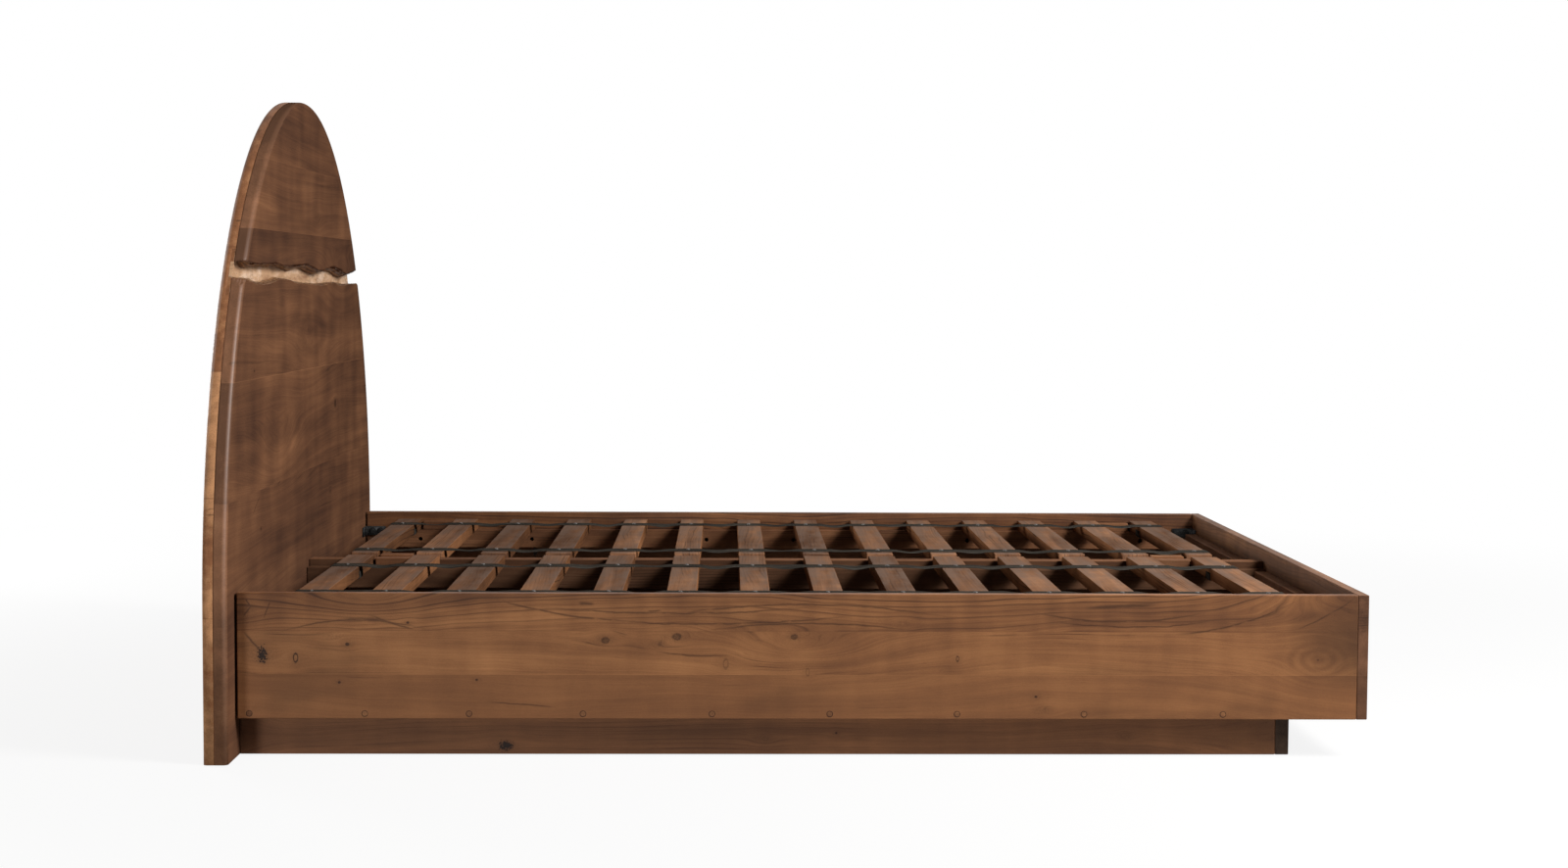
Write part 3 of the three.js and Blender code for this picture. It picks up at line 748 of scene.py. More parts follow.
# Both shade marks on the plinth are painted shade: the headboard's shadow beside it, and shade that deepens towards
# the foot end.
PLINTH_KNOTS = (
    ("cluster", 0.490, 0.016, 1.0), ("shade", -0.010, 0.035, 0.50), ("smudge", 0.965, 0.030, 0.9),
    ("pin", 1.100, 0.040, 0.6), ("smudge", 1.640, 0.035, 0.8), ("shade", 1.940, 0.035, 1.6))
FAR_RAIL_KNOTS = (
    ("burst", 0.420, 0.205, 0.8), ("slit", 1.260, 0.130, 0.9), ("eye", 1.700, 0.190, 1.0),
    ("smudge", 0.900, 0.270, 1.2), ("pin", 1.050, 0.180, 0.8))
HEADBOARD_KNOTS = (
    ("spot", 0.335, 0.595, 1.6), ("pin", 0.260, 0.400, 0.9), ("pin", -0.540, 0.395, 0.8),
    ("pin", -0.590, 0.700, 0.7), ("whorl", 0.050, 0.760, 1.0), ("swirl", -0.350, 0.560, 2.0),
    ("smudge", -0.300, 0.830, 1.2), ("smudge", 0.120, 1.010, 2.0), ("swirl", 0.420, 0.900, 2.0))
HEADBOARD_CRACKS = (
    (-0.580, 0.445, 0.040, 0.40, 0.0, 0.0016), (-0.350, 0.470, 0.020, 0.2, 0.0, 0.0012))

slab_figure = dict(knots=HEADBOARD_KNOTS, cracks=HEADBOARD_CRACKS, spacing=0.021, sway=0.09,
                   veins=-0.12, calm=0.38, stretch=0.4, seed=3.0, contrast=0.72)
headboard_oiled = timber("headboard_oiled", "YZX", HEADBOARD_WALNUT, HEADBOARD_BOARDS,
                         roughness=0.78, specular=0.0, **slab_figure)
headboard_rim_burnished = timber("headboard_rim_burnished", "YZX", SIDE_WALNUT, SIDE_BOARDS,
                                 roughness=0.60, specular=0.0,
                                 burnish=(1, 0.38, 0.10, 0.05, 0.82), **slab_figure)
back_panel_burnished = timber("back_panel_burnished", "YZX", EDGE_WALNUT, BACK_BOARDS,
                              spacing=0.012, sway=0.04, veins=-0.14, seed=12.0, specular=0.06,
                              burnish=(-1, 0.90, 0.0, 0.40, 0.90))
back_panel_oiled = timber("back_panel_oiled", "YZX", WALNUT, BACK_FACE_BOARDS, spacing=0.012,
                          sway=0.06, veins=-0.10, seed=14.0, roughness=0.62, specular=0.06)
rail_near_oiled = timber("rail_near_oiled", "XZY", WALNUT, RAIL_BOARDS, NEAR_RAIL_KNOTS,
                         NEAR_RAIL_CRACKS, HEAD_FACE, sway=0.055, veins=0.03, calm=0.10, seed=21.0,
                         specular=0.10, contrast=0.88)
rail_far_oiled = timber("rail_far_oiled", "XZY", FAR_WALNUT, RAIL_BOARDS, FAR_RAIL_KNOTS,
                        origin=HEAD_FACE, sway=0.05, veins=0.02, seed=27.0, specular=0.10)
foot_board_oiled = timber("foot_board_oiled", "YZX", FOOT_WALNUT, RAIL_BOARDS, sway=0.05,
                          veins=0.03, seed=33.0, specular=0.06)
foot_board_end_grain = timber("foot_board_end_grain", "YZX", FOOT_END_WOOD, RAIL_BOARDS,
                              spacing=0.005, sway=0.01, seed=35.0, specular=0.06)
plinth_oiled = timber("plinth_oiled", "XZY", PLINTH_WALNUT, knots=PLINTH_KNOTS, origin=HEAD_FACE,
                      seed=41.0, specular=0.12, contrast=0.70)
plinth_end_oiled = timber("plinth_end_oiled", "YZX", PLINTH_WALNUT, seed=44.0, specular=0.12)
plinth_end_grain = timber("plinth_end_grain", "YZX", PLINTH_END_WOOD, spacing=0.005, sway=0.01,
                          seed=46.0, specular=0.06)

sanded = dict(sway=0.02, spacing=0.006, roughness=0.76, specular=0.05)
frame_sanded_long = timber("frame_sanded_long", "XZY", FRAME_WOOD, seed=51.0, **sanded)
frame_sanded_cross = timber("frame_sanded_cross", "YZX", FRAME_WOOD, seed=55.0, **sanded)
# The posts, the beam's sides and the beam's ledgers take the darker under-deck wood: painted shade under the slats.
frame_sanded_post = timber("frame_sanded_post", "ZXY", UNDER_DECK_SHADE_WOOD, seed=58.0, **sanded)
frame_stained_long = timber("frame_stained_long", "XZY", UNDER_DECK_SHADE_WOOD, sway=0.02, spacing=0.006,
                            seed=53.0, roughness=0.80, specular=0.0, contrast=0.70)
sanded_slat = dict(sway=0.035, spacing=0.007, veins=0.02, roughness=0.85, specular=0.0,
                   own_place=True)
slat_sanded = timber("slat_sanded", "YXZ", SLAT_WOOD, seed=61.0, dust=0.75, **sanded_slat)
slat_side_sanded = timber("slat_side_sanded", "YZX", SLAT_SIDE_WOOD, seed=63.0, **sanded_slat)
plug_end_grain = timber("plug_end_grain", "YZX", PLUG_WOOD, veins=-0.5, spacing=0.002, sway=0.002,
                        seed=66.0, specular=0.10)
plug_glue_line = timber("plug_glue_line", "YZX", GLUE, spacing=0.002, sway=0.002, seed=68.0,
                        specular=0.10)
inset_raw_wood = raw_inset()
live_edge_finish = live_edge_wood()
grey_webbing = webbing_weave()
black_steel = metal("black_painted_steel", stain(20, 20, 20), stain(44, 43, 42), 0.52, 0.0, 0.25)
tack_steel = metal("blued_tack_steel", stain(78, 75, 72), stain(124, 120, 115), 0.36, 0.85, 0.5)


# ---- mesh helpers ----
def in_scene(name, data):
    """A new object in the scene."""
    added = bpy.data.objects.new(name, data)
    bpy.context.scene.collection.objects.link(added)
    return added


def new_piece(name, mesh, material, slot, *nodes):
    """Shows a finished mesh as a piece of the bed that stands for the named solids."""
    piece = in_scene(name, mesh)
    if not mesh.materials:
        mesh.materials.append(material)
    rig.ride(piece, "root")
    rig.slot(piece, slot)
    if nodes:
        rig.replaces(piece, *nodes)
    return piece


def refinished(mesh, finish, chosen):
    """Gives another finish to the faces whose normal is chosen."""
    mesh.materials.append(finish)
    for face in mesh.polygons:
        if chosen(face.normal):
            face.material_index = len(mesh.materials) - 1


def settled(holder):
    """The plain mesh of an object with its modifiers applied; the object goes."""
    evaluated = holder.evaluated_get(bpy.context.evaluated_depsgraph_get())
    mesh = bpy.data.meshes.new_from_object(evaluated)
    bpy.data.objects.remove(holder)
    return mesh


def to_mesh(bm, name):
    bmesh.ops.recalc_face_normals(bm, faces=bm.faces)
    mesh = bpy.data.meshes.new(name)
    bm.to_mesh(mesh)
    bm.free()
    return mesh


def loft(rings):
    """A closed body through rings of equally many points, with a flat cap at each end."""
    bm = bmesh.new()
    loops = [[bm.verts.new(point) for point in ring] for ring in rings]
    count = len(loops[0])
    for this, following in zip(loops, loops[1:]):
        for i in range(count):
            j = (i + 1) % count
            face = bm.faces.new((this[i], this[j], following[j], following[i]))
            face.smooth = True
    bm.faces.new(loops[0][::-1])
    bm.faces.new(loops[-1])
    return bm


def eased_body(low, high, ease, segments=3):
    """A board between two corners with every edge eased."""
    bm = bmesh.new()
    centre, size = (low + high) / 2, high - low
    bmesh.ops.create_cube(bm, size=1.0)
    for vertex in bm.verts:
        vertex.co = Vector(vertex.co[i] * size[i] + centre[i] for i in range(3))
    bmesh.ops.bevel(bm, geom=bm.edges[:], offset=ease, segments=segments, profile=0.5, affect="EDGES")
    for face in bm.faces:
        square_on = max(abs(part) for part in face.normal)
        face.smooth = square_on < 0.9999
    return bm


def eased_mesh(name, low, high, ease=BOARD_EASE):
    return to_mesh(eased_body(low, high, ease), name)


def eased_board(name, node, material, slot, ease=BOARD_EASE):
    low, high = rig.box(node)
    return new_piece(name, eased_mesh(name, low, high, ease), material, slot, node)


def circle(radius, height, sides):
    """Points round Z."""
    turns = [2 * math.pi * i / sides for i in range(sides)]
    return [(radius * math.cos(turn), radius * math.sin(turn), height) for turn in turns]


def turned(profile, sides):
    """A body turned about Z from a profile of (radius, height) that starts and ends on the axis."""
    bm = bmesh.new()
    bottom = bm.verts.new((0, 0, profile[0][1]))
    top = bm.verts.new((0, 0, profile[-1][1]))
    rings = []
    for radius, height in profile[1:-1]:
        rings.append([bm.verts.new(point) for point in circle(radius, height, sides)])
    for i in range(sides):
        j = (i + 1) % sides
        bm.faces.new((bottom, rings[0][j], rings[0][i]))
        bm.faces.new((top, rings[-1][i], rings[-1][j]))
        for this, following in zip(rings, rings[1:]):
            bm.faces.new((this[i], this[j], following[j], following[i])).smooth = True
    return bm


# ---- headboard ----
def arch_point(angle, inward):
    """A point on the arch drawn in by `inward`: 0 is the far side, pi / 2 the top, pi the near side."""
    half = HALF_WIDTH - inward
    rise = HEIGHT - ARCH_SPRING - inward
    across = math.copysign(abs(math.cos(angle)) ** (2 / ARCH_POWER), math.cos(angle))
    return half * across, ARCH_SPRING + rise * abs(math.sin(angle)) ** (2 / ARCH_POWER)


def arch_share(z, inward):
    return (z - ARCH_SPRING) / (HEIGHT - ARCH_SPRING - inward)


def arch_angle(z, inward):
    return math.asin(arch_share(z, inward) ** (ARCH_POWER / 2))


def arch_half_width(z, inward):
    share = min(1.0, max(0.0, arch_share(z, inward)))
    return (HALF_WIDTH - inward) * (1 - share ** ARCH_POWER) ** (1 / ARCH_POWER)


def arch_run(inward, start, end, steps):
    return [arch_point(start + (end - start) * i / steps, inward) for i in range(steps + 1)]


def solid_of(node):
    """A search tree over a CAD node's faces."""
    mesh = frame["nodes"][node].data
    corners = [vertex.co.copy() for vertex in mesh.vertices]
    return BVHTree.FromPolygons(corners, [tuple(face.vertices) for face in mesh.polygons])


def read_live_edge(node, x, from_height, direction):
    """Heights of a slab's live edge across the bed at one depth, with its corners worn off."""
    solid = solid_of(node)
    ys = np.linspace(-HALF_WIDTH, HALF_WIDTH, 600)
    reach = 0.2
    heights = np.full(len(ys), np.nan)
    for i, y in enumerate(ys):
        hit = solid.ray_cast(Vector((x, y, from_height)), Vector((0, 0, direction)), reach)[0]
        if hit is not None and abs(hit.z - SPLIT) < SPLIT_REACH:
            heights[i] = hit.z
    known = np.flatnonzero(~np.isnan(heights))
    heights = np.interp(ys, ys[known], heights[known])
    kernel = np.hanning(11)
    padded = np.pad(heights, len(kernel) // 2, mode="edge")
    return ys, np.convolve(padded, kernel / kernel.sum(), mode="valid")


def live_wear(y, depth, seed):
    """Fine relief of a brushed live edge: waves, nibbles and raised layers."""
    waves = 0.0016 * noise.noise(Vector((y * 28, depth * 1.6, seed)))
    nibbles = 0.0009 * noise.noise(Vector((y * 95, depth * 4.0, seed + 5)))
    layer = (depth * 4.5 + 1.1 * noise.noise(Vector((y * 6, 0.0, seed + 9)))) % 1.0
    return waves + nibbles + 0.0011 * (layer - 0.5)


class LiveEdge:
    """One slab's live edge: a height for each place across and each depth, 0 at the back."""

    def __init__(self, node, from_height, direction, seed):
        low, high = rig.box(node)
        inside = 0.0004
        self.ys, self.back = read_live_edge(node, low.x + inside, from_height, direction)
        _, self.front = read_live_edge(node, high.x - inside, from_height, direction)
        self.seed = seed
        self.ease = direction                # an eased front edge moves into the slab

    def height(self, y, depth):
        back = float(np.interp(y, self.ys, self.back))
        front = float(np.interp(y, self.ys, self.front))
        near_front = max(0.0, (depth - 0.88) / 0.12)
        eased = LIVE_EDGE_EASE * self.ease * (1 - math.sqrt(max(0.0, 1 - near_front ** 2)))
        return back + (front - back) * depth + live_wear(y, depth, self.seed) + eased

    def run(self, depth, inward):
        """Points along the edge at one depth, from the near rim to the far rim."""
        ends = []
        for sign in (-1, 1):
            guess = sign * arch_half_width(SPLIT, inward)
            ends.append(sign * arch_half_width(self.height(guess, depth), inward))
        near, far = ends
        places = [near + (far - near) * i / LIVE_STEPS for i in range(LIVE_STEPS + 1)]
        return [(y, self.height(y, depth)) for y in places]


def slab_stations(thickness):
    """Depths from a slab's back to its front, each with how far the rounded edge is drawn in."""
    stations = [(0.0, SLAB_EASE), (SLAB_EASE, 0.0)]
    straight = thickness - FRONT_ROUND
    stations += [(SLAB_EASE + (straight - SLAB_EASE) * i / 9, 0.0) for i in range(1, 10)]
    for i in range(1, 11):
        angle = math.pi / 2 * i / 10
        stations.append((straight + FRONT_ROUND * math.sin(angle), FRONT_ROUND * (1 - math.cos(angle))))
    return stations


def slab(name, node, outline):
    """A front slab through its outline at each depth: oiled in front, rubbed at the rim and rough
    at the split."""
    low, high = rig.box(node)
    thickness = high.x - low.x
    rings = []
    for depth, inward in slab_stations(thickness):
        rings.append([(low.x + depth, y, z) for y, z in outline(depth / thickness, inward)])
    bm = loft(rings)
    bmesh.ops.recalc_face_normals(bm, faces=bm.faces)
    finishes = (headboard_oiled, live_edge_finish, headboard_rim_burnished)
    for face in bm.faces:
        if len(face.verts) > 4:
            continue
        centre = face.calc_center_median()
        rim = arch_half_width(centre.z, 0.0) - RIM_WIDTH
        at_rim = centre.z < ARCH_SPRING or abs(centre.y) > rim
        rounded = centre.x > high.x - FRONT_ROUND
        if at_rim:
            finish = headboard_rim_burnished
        else:
            finish = headboard_oiled if rounded and face.normal.x > 0.5 else live_edge_finish
        face.material_index = finishes.index(finish)
    mesh = to_mesh(bm, name)
    for finish in finishes:
        mesh.materials.append(finish)
    new_piece(name, mesh, headboard_oiled, "wood_headboard", node)


upper_edge = LiveEdge("headboard_upper_slab", SPLIT - SPLIT_REACH, 1, 2.0)
lower_edge = LiveEdge("headboard_lower_slab", SPLIT + SPLIT_REACH, -1, 7.0)


def rim_angles(live, inward):
    """Where on the arch a live edge ends, on the far side and on the near side."""
    return arch_angle(live[-1][1], inward), math.pi - arch_angle(live[0][1], inward)


def upper_outline(depth, inward):
    live = upper_edge.run(depth, inward)
    far, near = rim_angles(live, inward)
    return live[1:-1] + arch_run(inward, far, near, ARCH_STEPS)


def lower_outline(depth, inward):
    live = lower_edge.run(depth, inward)
    far, near = rim_angles(live, inward)
    sides = [(HALF_WIDTH - inward, 0.0)] + arch_run(inward, 0.0, far, FLANK_STEPS)
    return (sides + live[-2:0:-1] + arch_run(inward, near, math.pi, FLANK_STEPS)
            + [(inward - HALF_WIDTH, 0.0)])


def back_panel():
    """The plain arch behind the slabs, with a rounded back edge and a groove for the inset."""
    low, high = BACK_PANEL
    stations = []
    for i in range(8):
        angle = math.pi / 2 * i / 7
        stations.append((BACK_ROUND * (1 - math.cos(angle)), BACK_ROUND * (1 - math.sin(angle))))
    thickness = high.x - low.x
    stations += [(thickness - SLAB_EASE, 0.0), (thickness, SLAB_EASE)]
    rings = []
    for depth, inward in stations:
        outline = [(inward - HALF_WIDTH, 0.0), (HALF_WIDTH - inward, 0.0)]
        outline += arch_run(inward, 0.0, math.pi, ARCH_STEPS)
        rings.append([(low.x + depth, y, z) for y, z in outline])
    whole = in_scene("headboard_back", to_mesh(loft(rings), "back_panel"))
    beyond = 0.01
    groove_low = Vector((INSET[0].x - FIT, -HALF_WIDTH - beyond, INSET[0].z - FIT))
    groove_high = Vector((high.x + beyond, HALF_WIDTH + beyond, INSET[1].z + FIT))
    cutter = in_scene("groove", to_mesh(eased_body(groove_low, groove_high, GROOVE_EASE, 1), "groove"))
    cut = whole.modifiers.new("groove", "BOOLEAN")
    cut.operation, cut.solver, cut.object = "DIFFERENCE", "EXACT", cutter
    grooved = settled(whole)
    bpy.data.objects.remove(cutter)
    new_piece("headboard_back", grooved, back_panel_burnished, "wood_headboard",
              "headboard_back_panel")
    refinished(grooved, back_panel_oiled, lambda normal: normal.x < -0.99)


def inset_strip():
    """The pale strip: flat behind, chiselled in front, its ends cut to the arch."""
    low, high = INSET
    columns, rows = 520, 34
    deepest = 0.0024
    bm = bmesh.new()
    fronts, backs = [], []
    for row in range(rows + 1):
        z = low.z + (high.z - low.z) * row / rows
        half = arch_half_width(z, 0.0)
        front, back = [], []
        for column in range(columns + 1):
            y = half * (2 * column / columns - 1)
            gouge = 0.5 + 0.5 * noise.fractal(Vector((y * 18, z * 46, 3.0)), 1.0, 2.0, 5)
            edge = min(1.0, min(row, rows - row) / 2, min(column, columns - column) / 3)
            depth = deepest * max(0.0, min(1.0, gouge)) * edge
            front.append(bm.verts.new((high.x - depth, y, z)))
            back.append(bm.verts.new((low.x, y, z)))
        fronts.append(front)
        backs.append(back)
    for grid in (fronts, backs):
        for this, above in zip(grid, grid[1:]):
            for i in range(columns):
                bm.faces.new((this[i], this[i + 1], above[i + 1], above[i])).smooth = grid is fronts
    for i in range(columns):
        bm.faces.new((fronts[0][i], fronts[0][i + 1], backs[0][i + 1], backs[0][i]))
        bm.faces.new((fronts[-1][i], fronts[-1][i + 1], backs[-1][i + 1], backs[-1][i]))
    for r in range(rows):
        bm.faces.new((fronts[r][0], fronts[r + 1][0], backs[r + 1][0], backs[r][0]))
        bm.faces.new((fronts[r][-1], fronts[r + 1][-1], backs[r + 1][-1], backs[r][-1]))
    bmesh.ops.recalc_face_normals(bm, faces=bm.faces)
    for face in bm.faces:
        centre = face.calc_center_median()
        beside = math.copysign(arch_half_width(SPLIT, 0.0) - RIM_DEPTH, centre.y)
        shown = lower_edge.height(beside, 0.0) < centre.z < upper_edge.height(beside, 0.0)
        face.material_index = 1 if abs(face.normal.y) > SQUARE_ON and not shown else 0
    mesh = to_mesh(bm, "inset")
    new_piece("headboard_pale_strip", mesh, inset_raw_wood, "wood_inset", "headboard_inset")
    mesh.materials.append(back_panel_burnished)


slab("headboard_lower_front", "headboard_lower_slab", lower_outline)
slab("headboard_upper_front", "headboard_upper_slab", upper_outline)
back_panel()
inset_strip()

# ---- boards ----
for side, finish in (("near", rail_near_oiled), ("far", rail_far_oiled)):
    low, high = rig.box(f"side_rail_{side}")
    low.x = HEAD_FACE + RAIL_HEAD_GAP
    name = f"rail_{side}"
    new_piece(name, eased_mesh(name, low, high), finish, "wood_rail", f"side_rail_{side}")
foot_panel = eased_board("foot_panel", "foot_board", foot_board_oiled, "wood_rail")
refinished(foot_panel.data, foot_board_end_grain, lambda normal: abs(normal.y) > SQUARE_ON)
# The beam's top takes the lighter sanded frame wood and its sides the darker one: painted light on top, painted shade
# at the sides.
beam = eased_board("beam", "centre_beam", frame_stained_long, "wood_frame")
refinished(beam.data, frame_sanded_long, lambda normal: normal.z > SQUARE_ON)
for side, _ in SIDES:
    eased_board(f"plinth_board_{side}", f"plinth_side_{side}", plinth_oiled, "wood_plinth")
    eased_board(f"base_batten_{side}", f"base_cleat_{side}", frame_sanded_long, "wood_frame")
    eased_board(f"foot_batten_{side}", f"foot_cleat_{side}", frame_sanded_cross, "wood_frame")
plinth_foot = eased_board("plinth_board_foot", "plinth_foot", plinth_end_oiled, "wood_plinth")
refinished(plinth_foot.data, plinth_end_grain, lambda normal: abs(normal.y) > SQUARE_ON)
eased_board("plinth_board_head", "plinth_head", plinth_end_oiled, "wood_plinth")
for number in (1, 2):
    eased_board(f"beam_post_{number}", f"centre_leg_{number}", frame_sanded_post, "wood_frame",
                POST_EASE)


# ---- geometry node trees ----
def new_geometry_tree(name, inputs):
    tree = bpy.data.node_groups.new(name, "GeometryNodeTree")
    for label, kind in ({"Geometry": "Geometry"} | inputs).items():
        tree.interface.new_socket(label, in_out="INPUT", socket_type=f"NodeSocket{kind}")
    tree.interface.new_socket("Geometry", in_out="OUTPUT", socket_type="NodeSocketGeometry")
    w = Wiring(tree)
    return tree, w, w.node("NodeGroupInput")


def made_real(w, shape, finish):
    """Ends a tree: the shape without instances, in its finish."""
    real = w.node("GeometryNodeRealizeInstances", {0: shape})
    finished = w.node("GeometryNodeSetMaterial", {"Geometry": real[0], "Material": finish})
    w.node("NodeGroupOutput", {0: finished[0]})


def grown(tree, settings, base=None):
    """The plain mesh that a tree makes with these settings."""
    holder = in_scene("holder", base or bpy.data.meshes.new("empty"))
    modifier = holder.modifiers.new("pattern", "NODES")
    modifier.node_group = tree
    for item in tree.interface.items_tree:
        if item.in_out == "INPUT" and item.name in settings:
            modifier[item.identifier] = settings[item.name]
    mesh = settled(holder)
    while mesh.materials and mesh.materials[0] is None:
        mesh.materials.pop(index=0)
    return mesh


patterns = []


def pattern_piece(bm, name):
    """An object that a tree repeats, removed again when every tree has been used."""
    pattern = in_scene(name, to_mesh(bm, name))
    patterns.append(pattern)
    return pattern


def slat_bank_tree():
    """A row of slats, each with a lot number that its grain and tone are drawn from."""
    tree, w, given = new_geometry_tree("slat_bank", {
        "Slat": "Object", "Count": "Int", "First": "Vector", "Pitch": "Vector",
        "End Play": "Float", "Lot": "Int", "Finish": "Material"})
    line = w.node("GeometryNodeMeshLine", {
        "Count": given["Count"], "Start Location": given["First"], "Offset": given["Pitch"]},
        mode="OFFSET")
    play = w.node("FunctionNodeRandomValue", {0: (0, -1, 0), 1: (0, 1, 0), "Seed": given["Lot"]},
                  data_type="FLOAT_VECTOR")
    shift = w.node("ShaderNodeVectorMath", {0: play[0], "Scale": given["End Play"]},
                   operation="SCALE")
    placed = w.node("GeometryNodeSetPosition", {"Geometry": line[0], "Offset": shift[0]})
    body = w.node("GeometryNodeObjectInfo", {"Object": given["Slat"]})
    own = w.node("GeometryNodeStoreNamedAttribute", {
        "Geometry": body["Geometry"], "Name": "board_place",
        "Value": w.node("GeometryNodeInputPosition")[0]}, data_type="FLOAT_VECTOR", domain="POINT")
    copies = w.node("GeometryNodeInstanceOnPoints", {"Points": placed[0], "Instance": own[0]})
    lots = w.node("FunctionNodeRandomValue", {"Seed": given["Lot"]}, data_type="FLOAT")
    marked = w.node("GeometryNodeStoreNamedAttribute", {
        "Geometry": copies[0], "Name": "board_lot", "Value": lots[1]},
        data_type="FLOAT", domain="INSTANCE")
    made_real(w, marked[0], given["Finish"])
    return tree


def fastener_tree():
    """Copies of one fastener on the points of a mesh, each turned to stand off its surface
    along the point's `stands` vector and spun about it at random."""
    tree, w, given = new_geometry_tree("fasteners_on_points", {
        "Fastener": "Object", "Lot": "Int", "Finish": "Material"})
    stands = w.node("GeometryNodeInputNamedAttribute", {"Name": "stands"}, data_type="FLOAT_VECTOR")
    upright = w.node("FunctionNodeAlignRotationToVector", {"Vector": stands[0]}, axis="Z")
    spin = w.node("FunctionNodeRandomValue", {2: 0.0, 3: 2 * math.pi, "Seed": given["Lot"]},
                  data_type="FLOAT")
    turn = w.node("FunctionNodeAxisAngleToRotation", {"Axis": (0, 0, 1), "Angle": spin[1]})
    both = w.node("FunctionNodeRotateRotation", {0: upright[0], 1: turn[0]}, rotation_space="LOCAL")
    body = w.node("GeometryNodeObjectInfo", {"Object": given["Fastener"]})
    copies = w.node("GeometryNodeInstanceOnPoints", {
        "Points": given["Geometry"], "Instance": body["Geometry"], "Rotation": both[0]})
    made_real(w, copies[0], given["Finish"])
    return tree


def bored_tree():
    """A board with a row of round holes through it, side to side."""
    tree, w, given = new_geometry_tree("bored_board", {
        "First": "Vector", "Pitch": "Float", "Count": "Int", "Radius": "Float", "Depth": "Float",
        "Finish": "Material"})
    line = w.node("GeometryNodeMeshLine", {
        "Count": given["Count"], "Start Location": given["First"],
        "Offset": w.join(given["Pitch"], 0.0, 0.0)}, mode="OFFSET")
    drill = w.node("GeometryNodeMeshCylinder", {
        "Vertices": 24, "Radius": given["Radius"], "Depth": given["Depth"]})
    copies = w.node("GeometryNodeInstanceOnPoints", {
        "Points": line[0], "Instance": drill[0], "Rotation": (math.pi / 2, 0, 0)})
    cut = w.node("GeometryNodeMeshBoolean", {"Mesh 1": given["Geometry"], "Mesh 2": copies[0]},
                 operation="DIFFERENCE", solver="EXACT")
    made_real(w, cut[0], given["Finish"])
    return tree


SLAT_BANK = slat_bank_tree()
FASTENERS = fastener_tree()
BORED = bored_tree()


def fasteners(name, pattern, spots, material, slot, lot):
    """Copies of a pattern at spots given as (place, direction it stands off)."""
    points = bpy.data.meshes.new("points")
    points.from_pydata([place for place, _ in spots], [], [])
    stands = points.attributes.new("stands", "FLOAT_VECTOR", "POINT")
    stands.data.foreach_set("vector", [part for _, way in spots for part in way])
    settings = {"Fastener": pattern, "Lot": lot, "Finish": material}
    new_piece(name, grown(FASTENERS, settings, points), material, slot)


# ---- slats ----
slat_low, slat_high = SLATS["near"][0]
half_slat = (slat_high - slat_low) / 2
slat_pattern = pattern_piece(eased_body(-half_slat, half_slat, SLAT_EASE), "slat_pattern")
for side, lot in (("near", 4), ("far", 9)):
    boxes = SLATS[side]
    first = (boxes[0][0] + boxes[0][1]) / 2
    last = (boxes[-1][0] + boxes[-1][1]) / 2
    bank = grown(SLAT_BANK, {
        "Slat": slat_pattern, "Count": len(boxes), "First": first,
        "Pitch": (last - first) / (len(boxes) - 1), "End Play": SLAT_END_PLAY, "Lot": lot,
        "Finish": slat_sanded})
    refinished(bank, slat_side_sanded, lambda normal: abs(normal.x) > SQUARE_ON)
    new_piece(f"slats_{side}", bank, slat_sanded, "wood_slat", *SLAT_NODES[side])


# ---- ledgers and stop blocks ----
def ledger_bar(node):
    """A ledger's bar, below its stop blocks; its mesh and its corners."""
    low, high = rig.box(node)
    high.z -= STOP_BLOCK_RISE
    return eased_mesh(f"{node}_bar", low, high), low, high


for side, _ in SIDES:
    bar, low, high = ledger_bar(f"rail_ledger_{side}")
    middle_y = (low.y + high.y) / 2
    for along, count in HOLE_ROWS:
        bar = grown(BORED, {
            "First": Vector((HEAD_FACE + along, middle_y, high.z - HOLE_DROP)),
            "Pitch": HOLE_PITCH, "Count": count, "Radius": HOLE_RADIUS,
            "Depth": DRILL_LENGTH, "Finish": frame_sanded_long}, bar)
    new_piece(f"ledger_{side}", bar, frame_sanded_long, "wood_frame", f"rail_ledger_{side}")
    bar, _, _ = ledger_bar(f"centre_ledger_{side}")
    new_piece(f"beam_ledger_{side}", bar, frame_stained_long, "wood_frame",
              f"centre_ledger_{side}")
    for ledger in ("rail_ledger", "centre_ledger"):
        low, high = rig.box(f"{ledger}_{side}")
        for end, before, after in (("head", 0, 1), ("foot", -2, -1)):
            block_low = Vector((SLATS[side][before][1].x + STOP_BLOCK_GAP, low.y,
                                high.z - STOP_BLOCK_RISE))
            block_high = Vector((SLATS[side][after][0].x - STOP_BLOCK_GAP, high.y, high.z))
            name = f"stop_block_{ledger}_{end}_{side}"
            new_piece(name, eased_mesh(name, block_low, block_high, BLOCK_EASE),
                      frame_sanded_long, "wood_frame")


# ---- webbing ----
def side_of(y):
    return "near" if y < 0 else "far"


def rounded_corners(path, radius, steps=5):
    """A polyline with its corners turned round a small radius."""
    smooth = [path[0]]
    for before, corner, after in zip(path, path[1:], path[2:]):
        a, b = Vector(before) - Vector(corner), Vector(after) - Vector(corner)
        cut = min(radius, a.length * 0.45, b.length * 0.45)
        start, end = Vector(corner) + a.normalized() * cut, Vector(corner) + b.normalized() * cut
        for i in range(steps + 1):
            t = i / steps
            point = start * (1 - t) ** 2 + Vector(corner) * 2 * t * (1 - t) + end * t ** 2
            smooth.append(tuple(point))
    smooth.append(path[-1])
    return smooth


